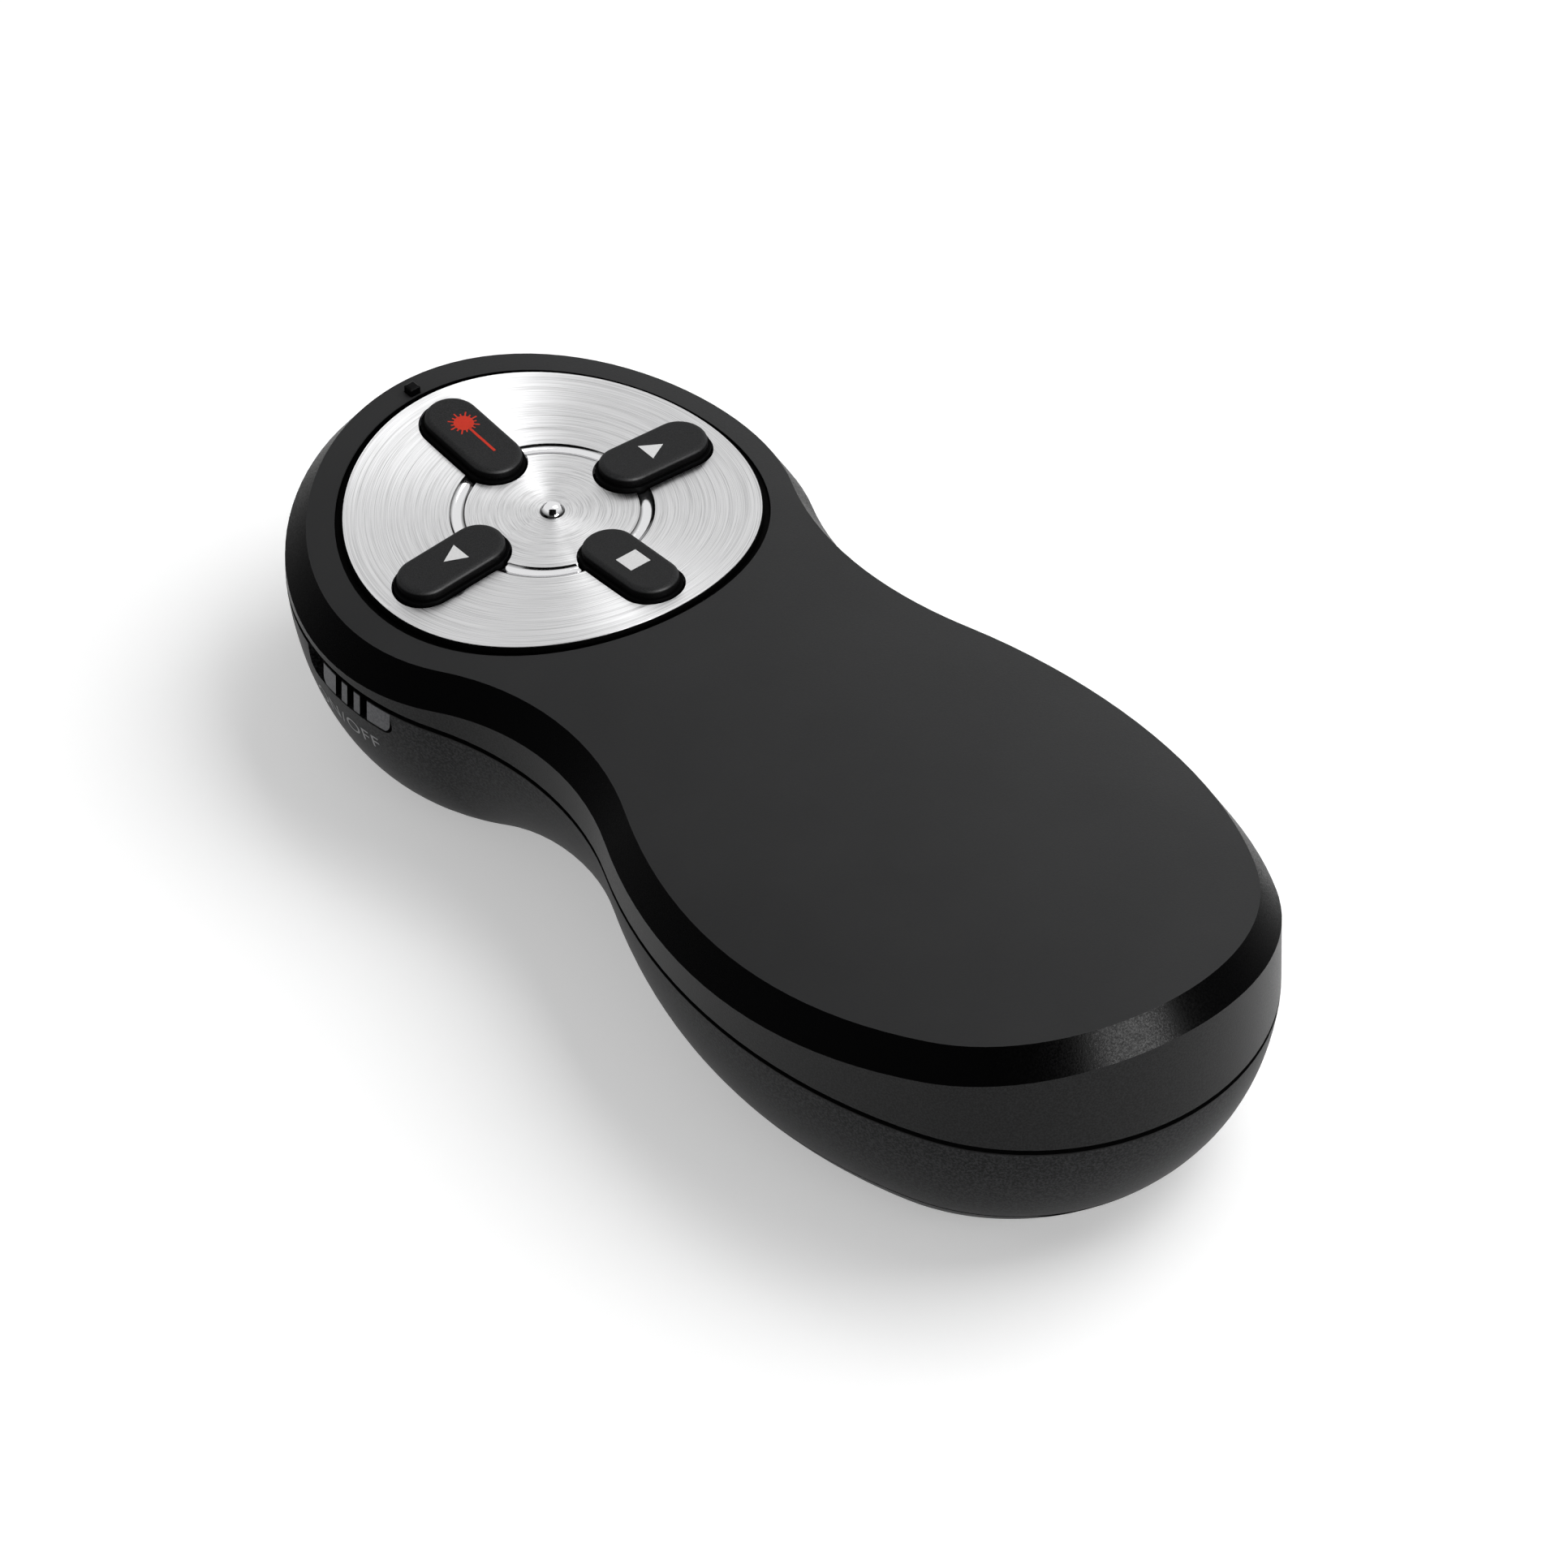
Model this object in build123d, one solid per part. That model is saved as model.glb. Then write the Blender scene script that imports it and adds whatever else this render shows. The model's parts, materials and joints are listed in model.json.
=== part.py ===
"""Wireless presentation clicker: two moulded shells, a dished metal key plate with four keys, a slide
switch, a laser pointer, two AAA cells behind a sliding door, and a USB receiver stowed in the underside.

Frame: +Y towards the laser end, +X to the right, +Z up, origin on the table under the middle of the body.
The seam between the shells is level. The crowned top face slopes down towards the laser end, and the key
plate, the keys and the circuit board lie parallel to it, in the "top frame" (see on_top).
"""
from build123d import *
from math import asin, cos, degrees, radians, sin, sqrt
import os

# ---------------------------------------------------------------- driving dimensions, mm and degrees
# outline seen from above
LENGTH = 100.8
TAIL_WIDTH = 44.8
HEAD_RADIUS = 21.0
WAIST_RADIUS = 25.7
TAIL_SIDE_RADIUS = 45.6
TAIL_SHARE = 0.6085         # widest place of the tail, on the way from the head's centre to the tail's end

# side view
LOWER_DEPTH = 14.9          # table to seam
CROWN_HEIGHT = 6.8          # seam to the crown of the top face, over the head's centre
TOP_SLOPE = 3.27
CROWN_RADIUS = 65.3
SEAM_GAP = 0.5
BEVEL_IN = 1.7
BEVEL_DROP = 2.45

# belly: how far its sides curl in under the body, at the head, along the sides and at the tail's end
HEAD_CURL = 6.6
SIDE_CURL = 7.5
TAIL_CURL = 10.6
WAIST_TIGHTEN = 12.0        # how much tighter the waist is at the base than at the seam
BELLY_DRAFT = 0.1085
BELLY_TURNS = (0, 18, 36, 54, 72, 90)
INNER_TURNS = (0, 30, 60, 90)
ARCH_BACK = 18.4            # small arch across the underside at the waist
ARCH_LENGTH = 12.0
ARCH_HEIGHT = 1.5

# shells
WALL = 2.0
TOP_WALL = 1.8
LIP = 0.9                   # the lower shell's tongue, inside the upper shell's rabbet
LIP_HEIGHT = 1.4
FIT = 0.1                   # clearance between parts that locate each other
RUN = 0.25                  # clearance round parts that move
BOARD_GAP = 0.7             # board's edge to the wall
SCREW_RADIUS = 0.95
SCREW_HEAD_RADIUS = 1.7
SCREW_HEAD = 1.2
POST_RADIUS = 2.0
BOSS_RADIUS = 2.6

# key plate: dished along the body, following the crown across it
PLATE_RADIUS = 16.5
PLATE_THICKNESS = 0.8
PLATE_SINK = 0.8            # plate's centre below the crown
PLATE_CROWN_RADIUS = 143.5
PLATE_DISH_RADIUS = 132.9
PLATE_GAP = 0.65            # dark gap round the plate
RING_RADIUS = 7.5
RING_WIDTH = 1.15
RING_DEPTH = 0.3
STUD_RADIUS = 1.0
STUD_HEIGHT = 0.75
STUD_SHANK = 0.6
WELL_FLOOR = 3.8            # underside of the key well below the crown
WELL_WALL = 1.3

# keys
KEY_LENGTH = 10.25
KEY_WIDTH = 4.95
KEY_OUT = 10.05             # centre of the plate to the centre of a key
KEY_HEIGHT = 1.15
KEY_COLLAR = 0.25           # the collar round a key's foot stands out this far
KEY_COLLAR_HEIGHT = 0.3
KEY_COLLAR_DEPTH = 0.6
KEY_ROUND = 0.45
KEY_GAP = 0.2               # round a key in the plate
KEY_TRAVEL = 0.5
KEY_FLANGE = 0.9
KEY_FLANGE_THICKNESS = 0.7
KEYS = {"laser": (0, 1), "next": (1, 0), "previous": (-1, 0), "stop": (0, -1)}

# tactile switches
TACT_SIZE = 5.2
TACT_HEIGHT = 1.8
TACT_CORNER = 0.4
PLUNGER_RADIUS = 1.2
PLUNGER_LENGTH = 1.1
PLUNGER_REACH = 0.7         # plunger's top above the switch body

# circuit board and what is on it
BOARD_THICKNESS = 1.0
BOARD_TAIL_WIDTH = 19.2
BOARD_TAIL_BACK = 29.0
CHIP_SIZE = 5.0
CHIP_HEIGHT = 0.9
CHIP_BACK = 19.5
CRYSTAL_LENGTH = 7.0
CRYSTAL_WIDTH = 3.0
CRYSTAL_HEIGHT = 2.2
CRYSTAL_BACK = 26.0
LED_SIZE = 1.4
LED_HEIGHT = 0.8
LENS_SIZE = 0.9
LENS_OUT = 17.8
LENS_PROUD = 0.7
BOARD_SCREW_SIDE = 7.4
BOARD_SCREW_BACK = 18.6
BOARD_SCREW_LENGTH = 4.0

# laser pointer, below the board at the front
LASER_DROP = 5.3            # seam down to the beam
BARREL_RADIUS = 2.3
BARREL_BORE = 1.6
BARREL_MOUTH = 1.1
BARREL_LENGTH = 11.0
BARREL_FRONT = 17.3         # barrel's front ahead of the head's centre
BARREL_LIP = 0.8
DIODE_LENGTH = 3.0
DIODE_NOSE = 1.2
LEAD_WIDTH = 0.4
LEAD_SPREAD = 0.7
LEAD_LENGTH = 1.2
LASER_LENS = 1.4
WINDOW_RADIUS = 2.6
CRADLE_THICKNESS = 1.4
CRADLE_WIDTH = 7.0

# power switch on the head's left side
SLOT_HEIGHT = 2.8
SLOT_CORNER = 1.2
KNOB_LENGTH = 7.9
KNOB_HEIGHT = 2.3
KNOB_SINK = 0.3             # knob's face below the shell's face
KNOB_TRAVEL = 2.0
KNOB_NOTCHES = 3
KNOB_NOTCH_PITCH = 1.5
KNOB_NOTCH_WIDTH = 0.8
KNOB_NOTCH_DEPTH = 1.0
KNOB_NOTCH_AHEAD = 0.3      # the notches lie ahead of the knob's middle
GUIDE_IN = 4.0              # outer face of the knob's guide plate inside the shell's face
GUIDE_THICKNESS = 0.8
GUIDE_LENGTH = 12.4
GUIDE_HEIGHT = 4.0
SWITCH_LENGTH = 8.6
SWITCH_WIDTH = 3.6
SWITCH_HEIGHT = 2.6
STEM_WIDTH = 1.4
STEM_HEIGHT = 1.0
STEM_IN = 1.6
STEM_DROP = 0.5             # middle of the stem below the middle of the knob

# battery bay
CELL_RADIUS = 5.25
CELL_LENGTH = 44.5
CELL_NUB_RADIUS = 1.9
CELL_NUB = 0.8
CELL_SPACING = 11.2
CELL_INSET = 11.5           # rear ends of the cells ahead of the tail's end
CELL_CENTRE = 8.3           # cells' axes above the table
CELL_ROOM = 0.25
TRAY_SIDE = 0.8
TRAY_END = 1.2
TRAY_ROOF = 0.8
CONTACT_THICKNESS = 0.4
CONTACT_ROOM = 1.6          # between a cell's end and the tray's end wall
CONTACT_REACH = 3.7         # a contact's ends beyond a cell's axis
LEAF_LENGTH = 6.3
LEAF_WIDTH = 4.2

# battery door: the whole underside of the tail below a level parting line
DOOR_HEIGHT = 4.1
DOOR_GAP = 0.2
DOOR_LEAD = 1.0             # its front edge ahead of the cells
BULKHEAD = 1.2
RAIL_STEM = 1.0             # the door's T-shaped rail, between and below the cells
RAIL_HEAD_WIDTH = 3.0
RAIL_HEAD = 0.6
RAIL_TOP = 3.7
RAIL_SHORT = 6.3            # its rear end ahead of the cells' rear ends
BRACKET_WALL = 0.7
BRACKET_ROOF = 0.5
BRACKET_LENGTH = 5.0
BRACKET_SHORT = 5.3         # rear end of the rear bracket ahead of the cells' rear ends
FINGER_WIDTH = 2.8
FINGER_THICKNESS = 0.6
GRIP_RIBS = 4
GRIP_PITCH = 2.2
GRIP_LENGTH = 12.0
GRIP_WIDTH = 0.7
GRIP_SHORT = 10.3           # rearmost groove ahead of the cells' rear ends

# receiver and its pocket in the head's underside
RECEIVER_WIDTH = 15.0
RECEIVER_THICKNESS = 5.6
RECEIVER_CASE = 8.5
RECEIVER_CORNER = 1.5
RECEIVER_EDGE = 0.4
PLUG_WIDTH = 12.0
PLUG_THICKNESS = 4.5
PLUG_LENGTH = 11.8
PLUG_SHELL = 0.3
PLUG_WINDOW = 2.2
PLUG_WINDOW_BACK = 5.3
TONGUE_THICKNESS = 1.9
RECEIVER_FRONT = 9.3        # its case's front ahead of the head's centre
RECEIVER_UP = 0.4           # its underside above the table
POCKET_WALL = 1.2
POCKET_ROOM = 0.2

# housing screws: positions from the head's centre
FRONT_POST_SIDE = 6.0
FRONT_POST_AHEAD = 13.0
TAIL_POST_SIDE = 16.6
FRONT_SEAT = 6.2            # screw heads' seats above the table
TAIL_SEAT = 5.6
SCREW_LENGTH = 9.0

# ---------------------------------------------------------------- values that follow from them
HEAD_Y = LENGTH / 2 - HEAD_RADIUS
TAIL_BACK = TAIL_SHARE * (LENGTH - HEAD_RADIUS)
TAIL_Y = HEAD_Y - TAIL_BACK
SIDE_X = TAIL_WIDTH / 2 - TAIL_SIDE_RADIUS      # centre of the right tail side's arc
SEAM_Z = LOWER_DEPTH
CROWN_Z = SEAM_Z + CROWN_HEIGHT
TALL = 40.0                                     # more than the body's height, for cutting tools
PLATE_UNDER = -PLATE_SINK - PLATE_THICKNESS
FLANGE_TOP = -WELL_FLOOR - FIT
FLANGE_UNDER = FLANGE_TOP - KEY_FLANGE_THICKNESS
TACT_TOP = FLANGE_UNDER - PLUNGER_REACH
BOARD_TOP = TACT_TOP - TACT_HEIGHT
BOARD_UNDER = BOARD_TOP - BOARD_THICKNESS
BOARD_RADIUS = HEAD_RADIUS - WALL - BOARD_GAP
LASER_Z = SEAM_Z - LASER_DROP
SLOT_LENGTH = KNOB_LENGTH + KNOB_TRAVEL + 2 * RUN
TRAY_HALF = (CELL_SPACING + 2 * CELL_RADIUS) / 2 + CELL_ROOM + TRAY_SIDE
CELL_REAR = LENGTH - HEAD_RADIUS - CELL_INSET   # behind the head's centre, like the next five
CELL_FRONT = CELL_REAR - CELL_LENGTH
DOOR_FRONT = CELL_FRONT - DOOR_LEAD
RAIL_REAR = CELL_REAR - RAIL_SHORT
BRACKET_REAR = CELL_REAR - BRACKET_SHORT
GRIP_REAR = CELL_REAR - GRIP_SHORT
TRAY_TOP = CELL_CENTRE + CELL_RADIUS + CELL_ROOM + TRAY_ROOF
TRAY_FLOOR = DOOR_HEIGHT + DOOR_GAP
POCKET_TOP = RECEIVER_UP + RECEIVER_THICKNESS + POCKET_ROOM


# ---------------------------------------------------------------- small helpers
def block(x0, x1, y0, y1, z0, z1):
    """Box between two corners."""
    return Pos((x0 + x1) / 2, (y0 + y1) / 2, (z0 + z1) / 2) * Box(x1 - x0, y1 - y0, z1 - z0)


def post(radius, x, y, z0, z1):
    """Upright cylinder."""
    return Pos(x, y, (z0 + z1) / 2) * Cylinder(radius, z1 - z0)


def rod(radius, x, z, y0, y1):
    """Cylinder along Y."""
    return Pos(x, (y0 + y1) / 2, z) * Rot(90, 0, 0) * Cylinder(radius, y1 - y0)


def on_top(shape):
    """Carry a shape from the top frame, whose origin is on the crown over the head's centre."""
    return Location((0, HEAD_Y, CROWN_Z), (-TOP_SLOPE, 0, 0)) * shape


def back(distance):
    """Y of a place behind the head's centre."""
    return HEAD_Y - distance


def parts_of(*shapes):
    """Separate solids kept together in one node."""
    return Compound(children=[solid for shape in shapes for solid in shape.solids()])


# ---------------------------------------------------------------- outlines and bodies of the shells
def outline(head_in, side_in, tail_in, waist_radius):
    """Closed outline of tangent arcs: head circle, two hollow waist arcs, two tail sides, the tail's end."""
    head, head_r = Vector(0, HEAD_Y), HEAD_RADIUS - head_in
    side, side_r = Vector(SIDE_X, TAIL_Y), TAIL_SIDE_RADIUS - side_in
    end_y = tail_in - LENGTH / 2
    # the waist arc's centre lies at known distances from the other two centres
    span = (side - head).length
    along = (side - head).normalized()
    across = Vector(-along.Y, along.X)
    near = ((head_r + waist_radius) ** 2 - (side_r + waist_radius) ** 2 + span**2) / (2 * span)
    waist = head + along * near + across * sqrt((head_r + waist_radius) ** 2 - near**2)
    # the end arc is centred on the middle line and touches the side arc
    reach = side_r + end_y
    end_mid = (reach**2 - side.X**2 - side.Y**2) / (2 * (reach - side.Y))
    end, end_r = Vector(0, end_mid), end_mid - end_y
    head_touch = head + (waist - head).normalized() * head_r
    side_touch = side + (waist - side).normalized() * side_r
    end_touch = end + (end - side).normalized() * end_r
    waist_mid = waist + ((head_touch - waist) + (side_touch - waist)).normalized() * waist_radius
    side_mid = side + ((side_touch - side) + (end_touch - side)).normalized() * side_r

    def left(point):
        return Vector(-point.X, point.Y)

    edges = [
        ThreePointArc(left(head_touch), head + Vector(0, head_r), head_touch),
        ThreePointArc(head_touch, waist_mid, side_touch),
        ThreePointArc(side_touch, side_mid, end_touch),
        ThreePointArc(end_touch, end - Vector(0, end_r), left(end_touch)),
        ThreePointArc(left(end_touch), left(side_mid), left(side_touch)),
        ThreePointArc(left(side_touch), left(waist_mid), left(head_touch)),
    ]
    return make_face(Wire(edges))


def prism(inset, z0, z1):
    """Upright body on the seam's outline, drawn in by `inset`."""
    return Pos(0, 0, z0) * extrude(outline(inset, inset, inset, WAIST_RADIUS + inset), z1 - z0)


def under_crown(drop):
    """Everything below the crowned top face lowered by `drop`."""
    radius = CROWN_RADIUS - drop
    return on_top(Pos(0, 0, -CROWN_RADIUS) * Rot(90, 0, 0) * Cylinder(radius, 2 * LENGTH))


def arch(wall):
    """Cutter for the arch across the underside, `wall` higher for the inner face."""
    half = ARCH_LENGTH / 2 + wall
    mid_y = back(ARCH_BACK)
    points = [(mid_y - half, 0), (mid_y, ARCH_HEIGHT), (mid_y + half, 0)]
    curve = Spline(points, tangents=[(1, 0), (1, 0)])
    foot = Polyline(points[2], (points[2][0], -WALL), (points[0][0], -WALL), points[0])
    face = Plane.YZ * make_face([curve, foot])
    return Pos(0, 0, wall) * extrude(face, TAIL_WIDTH / 2, both=True)


def belly(wall, turns=INNER_TURNS, ruled=True):
    """Lower body from the table to the seam, all its faces `wall` inside the outer ones."""
    depth = LOWER_DEPTH - wall
    sections = []
    for turn in turns:
        curl, drop = 1 - cos(radians(turn)), depth * sin(radians(turn))
        lean = wall + BELLY_DRAFT * drop
        tighten = WAIST_TIGHTEN * sin(radians(turn)) ** 2
        shape = outline(
            HEAD_CURL * curl + lean,
            SIDE_CURL * curl + lean,
            TAIL_CURL * curl + lean,
            WAIST_RADIUS + wall - tighten,
        )
        sections.append(Pos(0, 0, SEAM_Z - drop) * shape)
    return loft(sections, ruled=ruled) - arch(wall)


# ---------------------------------------------------------------- key plate and keys, in the top frame
def saddle(top, thickness):
    """Sheet that is crowned across the body and dished along it; its centre is at height `top`."""
    half = PLATE_RADIUS + PLATE_GAP + WELL_WALL
    edge = top - PLATE_CROWN_RADIUS + sqrt(PLATE_CROWN_RADIUS**2 - half**2)
    upper = ThreePointArc((-half, edge), (0, top), (half, edge))
    lower = ThreePointArc((half, edge - thickness), (0, top - thickness), (-half, edge - thickness))
    sides = [Line(upper @ 1, lower @ 0), Line(lower @ 1, upper @ 0)]
    section = Plane.XZ * make_face([upper, sides[0], lower, sides[1]])
    swing = 2 * degrees(asin(half / (PLATE_DISH_RADIUS - WELL_FLOOR)))
    hinge = Axis((0, 0, PLATE_DISH_RADIUS - PLATE_SINK), (1, 0, 0))
    return revolve(section.rotate(hinge, -swing / 2), hinge, swing)


def plate_height(x, y):
    """Height of the plate's upper face."""
    crown = PLATE_CROWN_RADIUS - sqrt(PLATE_CROWN_RADIUS**2 - x**2)
    dish = PLATE_DISH_RADIUS - sqrt(PLATE_DISH_RADIUS**2 - y**2)
    return dish - crown - PLATE_SINK


def key_place(name):
    """Location of a key: X of its own frame runs along the key."""
    x, y = KEYS[name]
    return Pos(KEY_OUT * x, KEY_OUT * y) * Rot(0, 0, 90 * (y != 0))


def key_slope(name):
    """Angle at which the plate's face rises along the key."""
    x, y = KEYS[name]
    return degrees(asin(KEY_OUT * y / PLATE_DISH_RADIUS) - asin(KEY_OUT * x / PLATE_CROWN_RADIUS))


def slot_prism(margin, z0, z1):
    """Key-shaped prism, `margin` larger all round."""
    shape = SlotOverall(KEY_LENGTH + 2 * margin, KEY_WIDTH + 2 * margin)
    return Pos(0, 0, z0) * extrude(shape, z1 - z0)


def each_key(make):
    """The same shape at each of the four keys."""
    return [key_place(name) * make for name in KEYS]


def make_plate():
    sheet = saddle(-PLATE_SINK, PLATE_THICKNESS) & Cylinder(PLATE_RADIUS, TALL)
    ring = Cylinder(RING_RADIUS + RING_WIDTH / 2, TALL) - Cylinder(RING_RADIUS - RING_WIDTH / 2, TALL)
    ring &= saddle(-PLATE_SINK + PLATE_THICKNESS - RING_DEPTH, PLATE_THICKNESS)
    holes = each_key(slot_prism(KEY_GAP, -TALL / 2, TALL / 2))
    return on_top(sheet - ring - holes - Cylinder(STUD_SHANK, TALL))


def make_stud():
    """Polished dome on a short shank through the plate and the well's floor."""
    ball = STUD_RADIUS**2 / (2 * STUD_HEIGHT) + STUD_HEIGHT / 2
    dome = Pos(0, 0, -PLATE_SINK + STUD_HEIGHT - ball) * Sphere(ball)
    dome &= post(STUD_RADIUS, 0, 0, -PLATE_SINK, 0)
    shank = post(STUD_SHANK, 0, 0, -WELL_FLOOR, -PLATE_SINK)
    return on_top(dome + shank)


def make_key(name):
    """Key that leans with the plate's face, on an upright shaft with a flange under the well's floor."""
    place = plate_height(*(KEY_OUT * c for c in KEYS[name]))
    cap = slot_prism(-KEY_COLLAR, -KEY_COLLAR_DEPTH, KEY_HEIGHT)
    cap = fillet(cap.faces().sort_by(Axis.Z)[-1].edges(), KEY_ROUND)
    collar = slot_prism(0, -KEY_COLLAR_DEPTH, KEY_COLLAR_HEIGHT)
    head = Pos(0, 0, place) * Rot(0, -key_slope(name), 0) * (cap + collar)
    straight, side, end = (KEY_LENGTH - KEY_WIDTH) / 2, KEY_WIDTH / 2, KEY_LENGTH / 2
    shaft = block(-straight, straight, FIT - side, side - FIT, FLANGE_UNDER, place)
    flange = block(-end - KEY_FLANGE, end + KEY_FLANGE, -side - KEY_FLANGE, side + KEY_FLANGE,
                   FLANGE_UNDER, FLANGE_TOP)
    return on_top(key_place(name) * (head + shaft + flange))


def make_plunger(name):
    return on_top(key_place(name) * post(PLUNGER_RADIUS, 0, 0, FLANGE_UNDER - PLUNGER_LENGTH, FLANGE_UNDER))


def make_tact(name):
    body = Pos(0, 0, TACT_TOP - TACT_HEIGHT / 2) * Box(TACT_SIZE, TACT_SIZE, TACT_HEIGHT)
    body = chamfer(body.edges().filter_by(Axis.Z), TACT_CORNER)
    hole_foot = FLANGE_UNDER - PLUNGER_LENGTH - KEY_TRAVEL - FIT
    body -= post(PLUNGER_RADIUS + FIT, 0, 0, hole_foot, TALL)
    return on_top(key_place(name) * body)


# ---------------------------------------------------------------- circuit board and what is on it
def board_screw_places():
    return [(side * BOARD_SCREW_SIDE, -BOARD_SCREW_BACK) for side in (-1, 1)]


def make_board():
    disc = Cylinder(BOARD_RADIUS, BOARD_THICKNESS)
    tail = block(-BOARD_TAIL_WIDTH / 2, BOARD_TAIL_WIDTH / 2, -BOARD_TAIL_BACK, 0,
                 -BOARD_THICKNESS / 2, BOARD_THICKNESS / 2)
    board = Pos(0, 0, (BOARD_TOP + BOARD_UNDER) / 2) * (disc + tail)
    board -= [post(POST_RADIUS + 2 * RUN, side * FRONT_POST_SIDE, FRONT_POST_AHEAD, -TALL, 0)
              for side in (-1, 1)]
    board -= [post(SCREW_RADIUS + FIT, *place, -TALL, 0) for place in board_screw_places()]
    inner_x = GUIDE_IN - HEAD_RADIUS + GUIDE_THICKNESS + RUN
    board -= block(-TALL, inner_x, -guide_room(), guide_room(), -TALL, 0)
    return on_top(board)


def make_chip():
    body = Pos(0, -CHIP_BACK, BOARD_TOP + CHIP_HEIGHT / 2) * Box(CHIP_SIZE, CHIP_SIZE, CHIP_HEIGHT)
    dot = post(CHIP_SIZE / 12, -CHIP_SIZE / 3, CHIP_SIZE / 3 - CHIP_BACK,
               BOARD_TOP + CHIP_HEIGHT * 0.8, BOARD_TOP + 2 * CHIP_HEIGHT)
    return on_top(body - dot)


def make_crystal():
    can = extrude(SlotOverall(CRYSTAL_LENGTH, CRYSTAL_WIDTH), CRYSTAL_HEIGHT)
    can = chamfer(can.faces().sort_by(Axis.Z)[-1].edges(), CRYSTAL_HEIGHT / 8)
    return on_top(Pos(0, -CRYSTAL_BACK, BOARD_TOP) * can)


def make_led():
    body = Box(LED_SIZE, LED_SIZE / 2, LED_HEIGHT)
    return on_top(Pos(0, LENS_OUT, BOARD_TOP + LED_HEIGHT / 2) * body)


def make_indicator_lens():
    """Square light pipe from the lamp up through the rim."""
    half = LENS_SIZE / 2
    pipe = block(-half, half, LENS_OUT - half, LENS_OUT + half, BOARD_TOP + LED_HEIGHT, LENS_PROUD)
    return on_top(fillet(pipe.faces().sort_by(Axis.Z)[-1].edges(), LENS_SIZE / 5))


def make_board_screws():
    screws = []
    for x, y in board_screw_places():
        head = post(SCREW_HEAD_RADIUS, x, y, BOARD_UNDER - SCREW_HEAD, BOARD_UNDER)
        shank = post(SCREW_RADIUS, x, y, BOARD_UNDER, BOARD_UNDER + BOARD_SCREW_LENGTH)
        screws.append(on_top(head + shank))
    return parts_of(*screws)


# ---------------------------------------------------------------- laser pointer
def make_barrel():
    front, rear = HEAD_Y + BARREL_FRONT, HEAD_Y + BARREL_FRONT - BARREL_LENGTH
    tube = rod(BARREL_RADIUS, 0, LASER_Z, rear, front) - rod(BARREL_BORE, 0, LASER_Z, rear, front)
    lip = rod(BARREL_RADIUS, 0, LASER_Z, front - BARREL_LIP, front)
    return tube + lip - rod(BARREL_MOUTH, 0, LASER_Z, front - BARREL_LIP, front)


def make_laser_lens():
    seat = HEAD_Y + BARREL_FRONT - BARREL_LIP
    disc = rod(BARREL_BORE, 0, LASER_Z, seat - LASER_LENS, seat)
    bulge = 2 * BARREL_RADIUS
    return disc & Pos(0, seat - bulge, LASER_Z) * Sphere(bulge)


def make_diode():
    rear = HEAD_Y + BARREL_FRONT - BARREL_LENGTH
    can = rod(BARREL_BORE, 0, LASER_Z, rear, rear + DIODE_LENGTH / 3)
    nose = rod(DIODE_NOSE, 0, LASER_Z, rear + DIODE_LENGTH / 3, rear + DIODE_LENGTH)
    lead = Pos(0, rear - LEAD_LENGTH / 2, LASER_Z) * Box(LEAD_WIDTH, LEAD_LENGTH, LEAD_WIDTH)
    return can + nose + [Pos(side * LEAD_SPREAD, 0, 0) * lead for side in (-1, 1)]


def make_window(outer):
    """Dark window that closes the beam's hole, flush with the shell."""
    rear = HEAD_Y + BARREL_FRONT
    return outer & rod(WINDOW_RADIUS, 0, LASER_Z, rear, LENGTH / 2 + 1)


# ---------------------------------------------------------------- power switch
def knob_profile(length, height, corner, mid_y, top):
    """Upright rectangle in the YZ plane with rounded lower corners."""
    box = Pos(mid_y, top - height / 2) * Rectangle(length, height)
    return Plane.YZ * fillet(box.vertices().group_by(Axis.Y)[0], corner)


def knob_mid():
    """The knob rests at the rear end of its slot."""
    return HEAD_Y - KNOB_TRAVEL / 2


def guide_room():
    """Half the length that the knob's guide plate sweeps, about the head's centre."""
    return (GUIDE_LENGTH + KNOB_TRAVEL) / 2 + 2 * RUN


def make_knob_slot():
    """Cutter for the slot in the lower shell, with room behind it for the guide plate."""
    profile = knob_profile(SLOT_LENGTH, SLOT_HEIGHT, SLOT_CORNER, HEAD_Y, SEAM_Z - SEAM_GAP / 2)
    tool = Pos(-HEAD_RADIUS - 1, 0, 0) * extrude(profile, GUIDE_IN + 1)
    x0, foot = GUIDE_IN - HEAD_RADIUS - RUN, knob_height() - GUIDE_HEIGHT / 2 - RUN
    inside = block(x0, x0 + WALL, HEAD_Y - guide_room(), HEAD_Y + guide_room(), foot, TALL)
    return tool + inside


def knob_height():
    """Middle of the knob and its slot above the table."""
    return SEAM_Z - SEAM_GAP / 2 - SLOT_HEIGHT / 2


def stem_height():
    """Middle of the switch and its stem above the table."""
    return knob_height() - STEM_DROP


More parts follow.
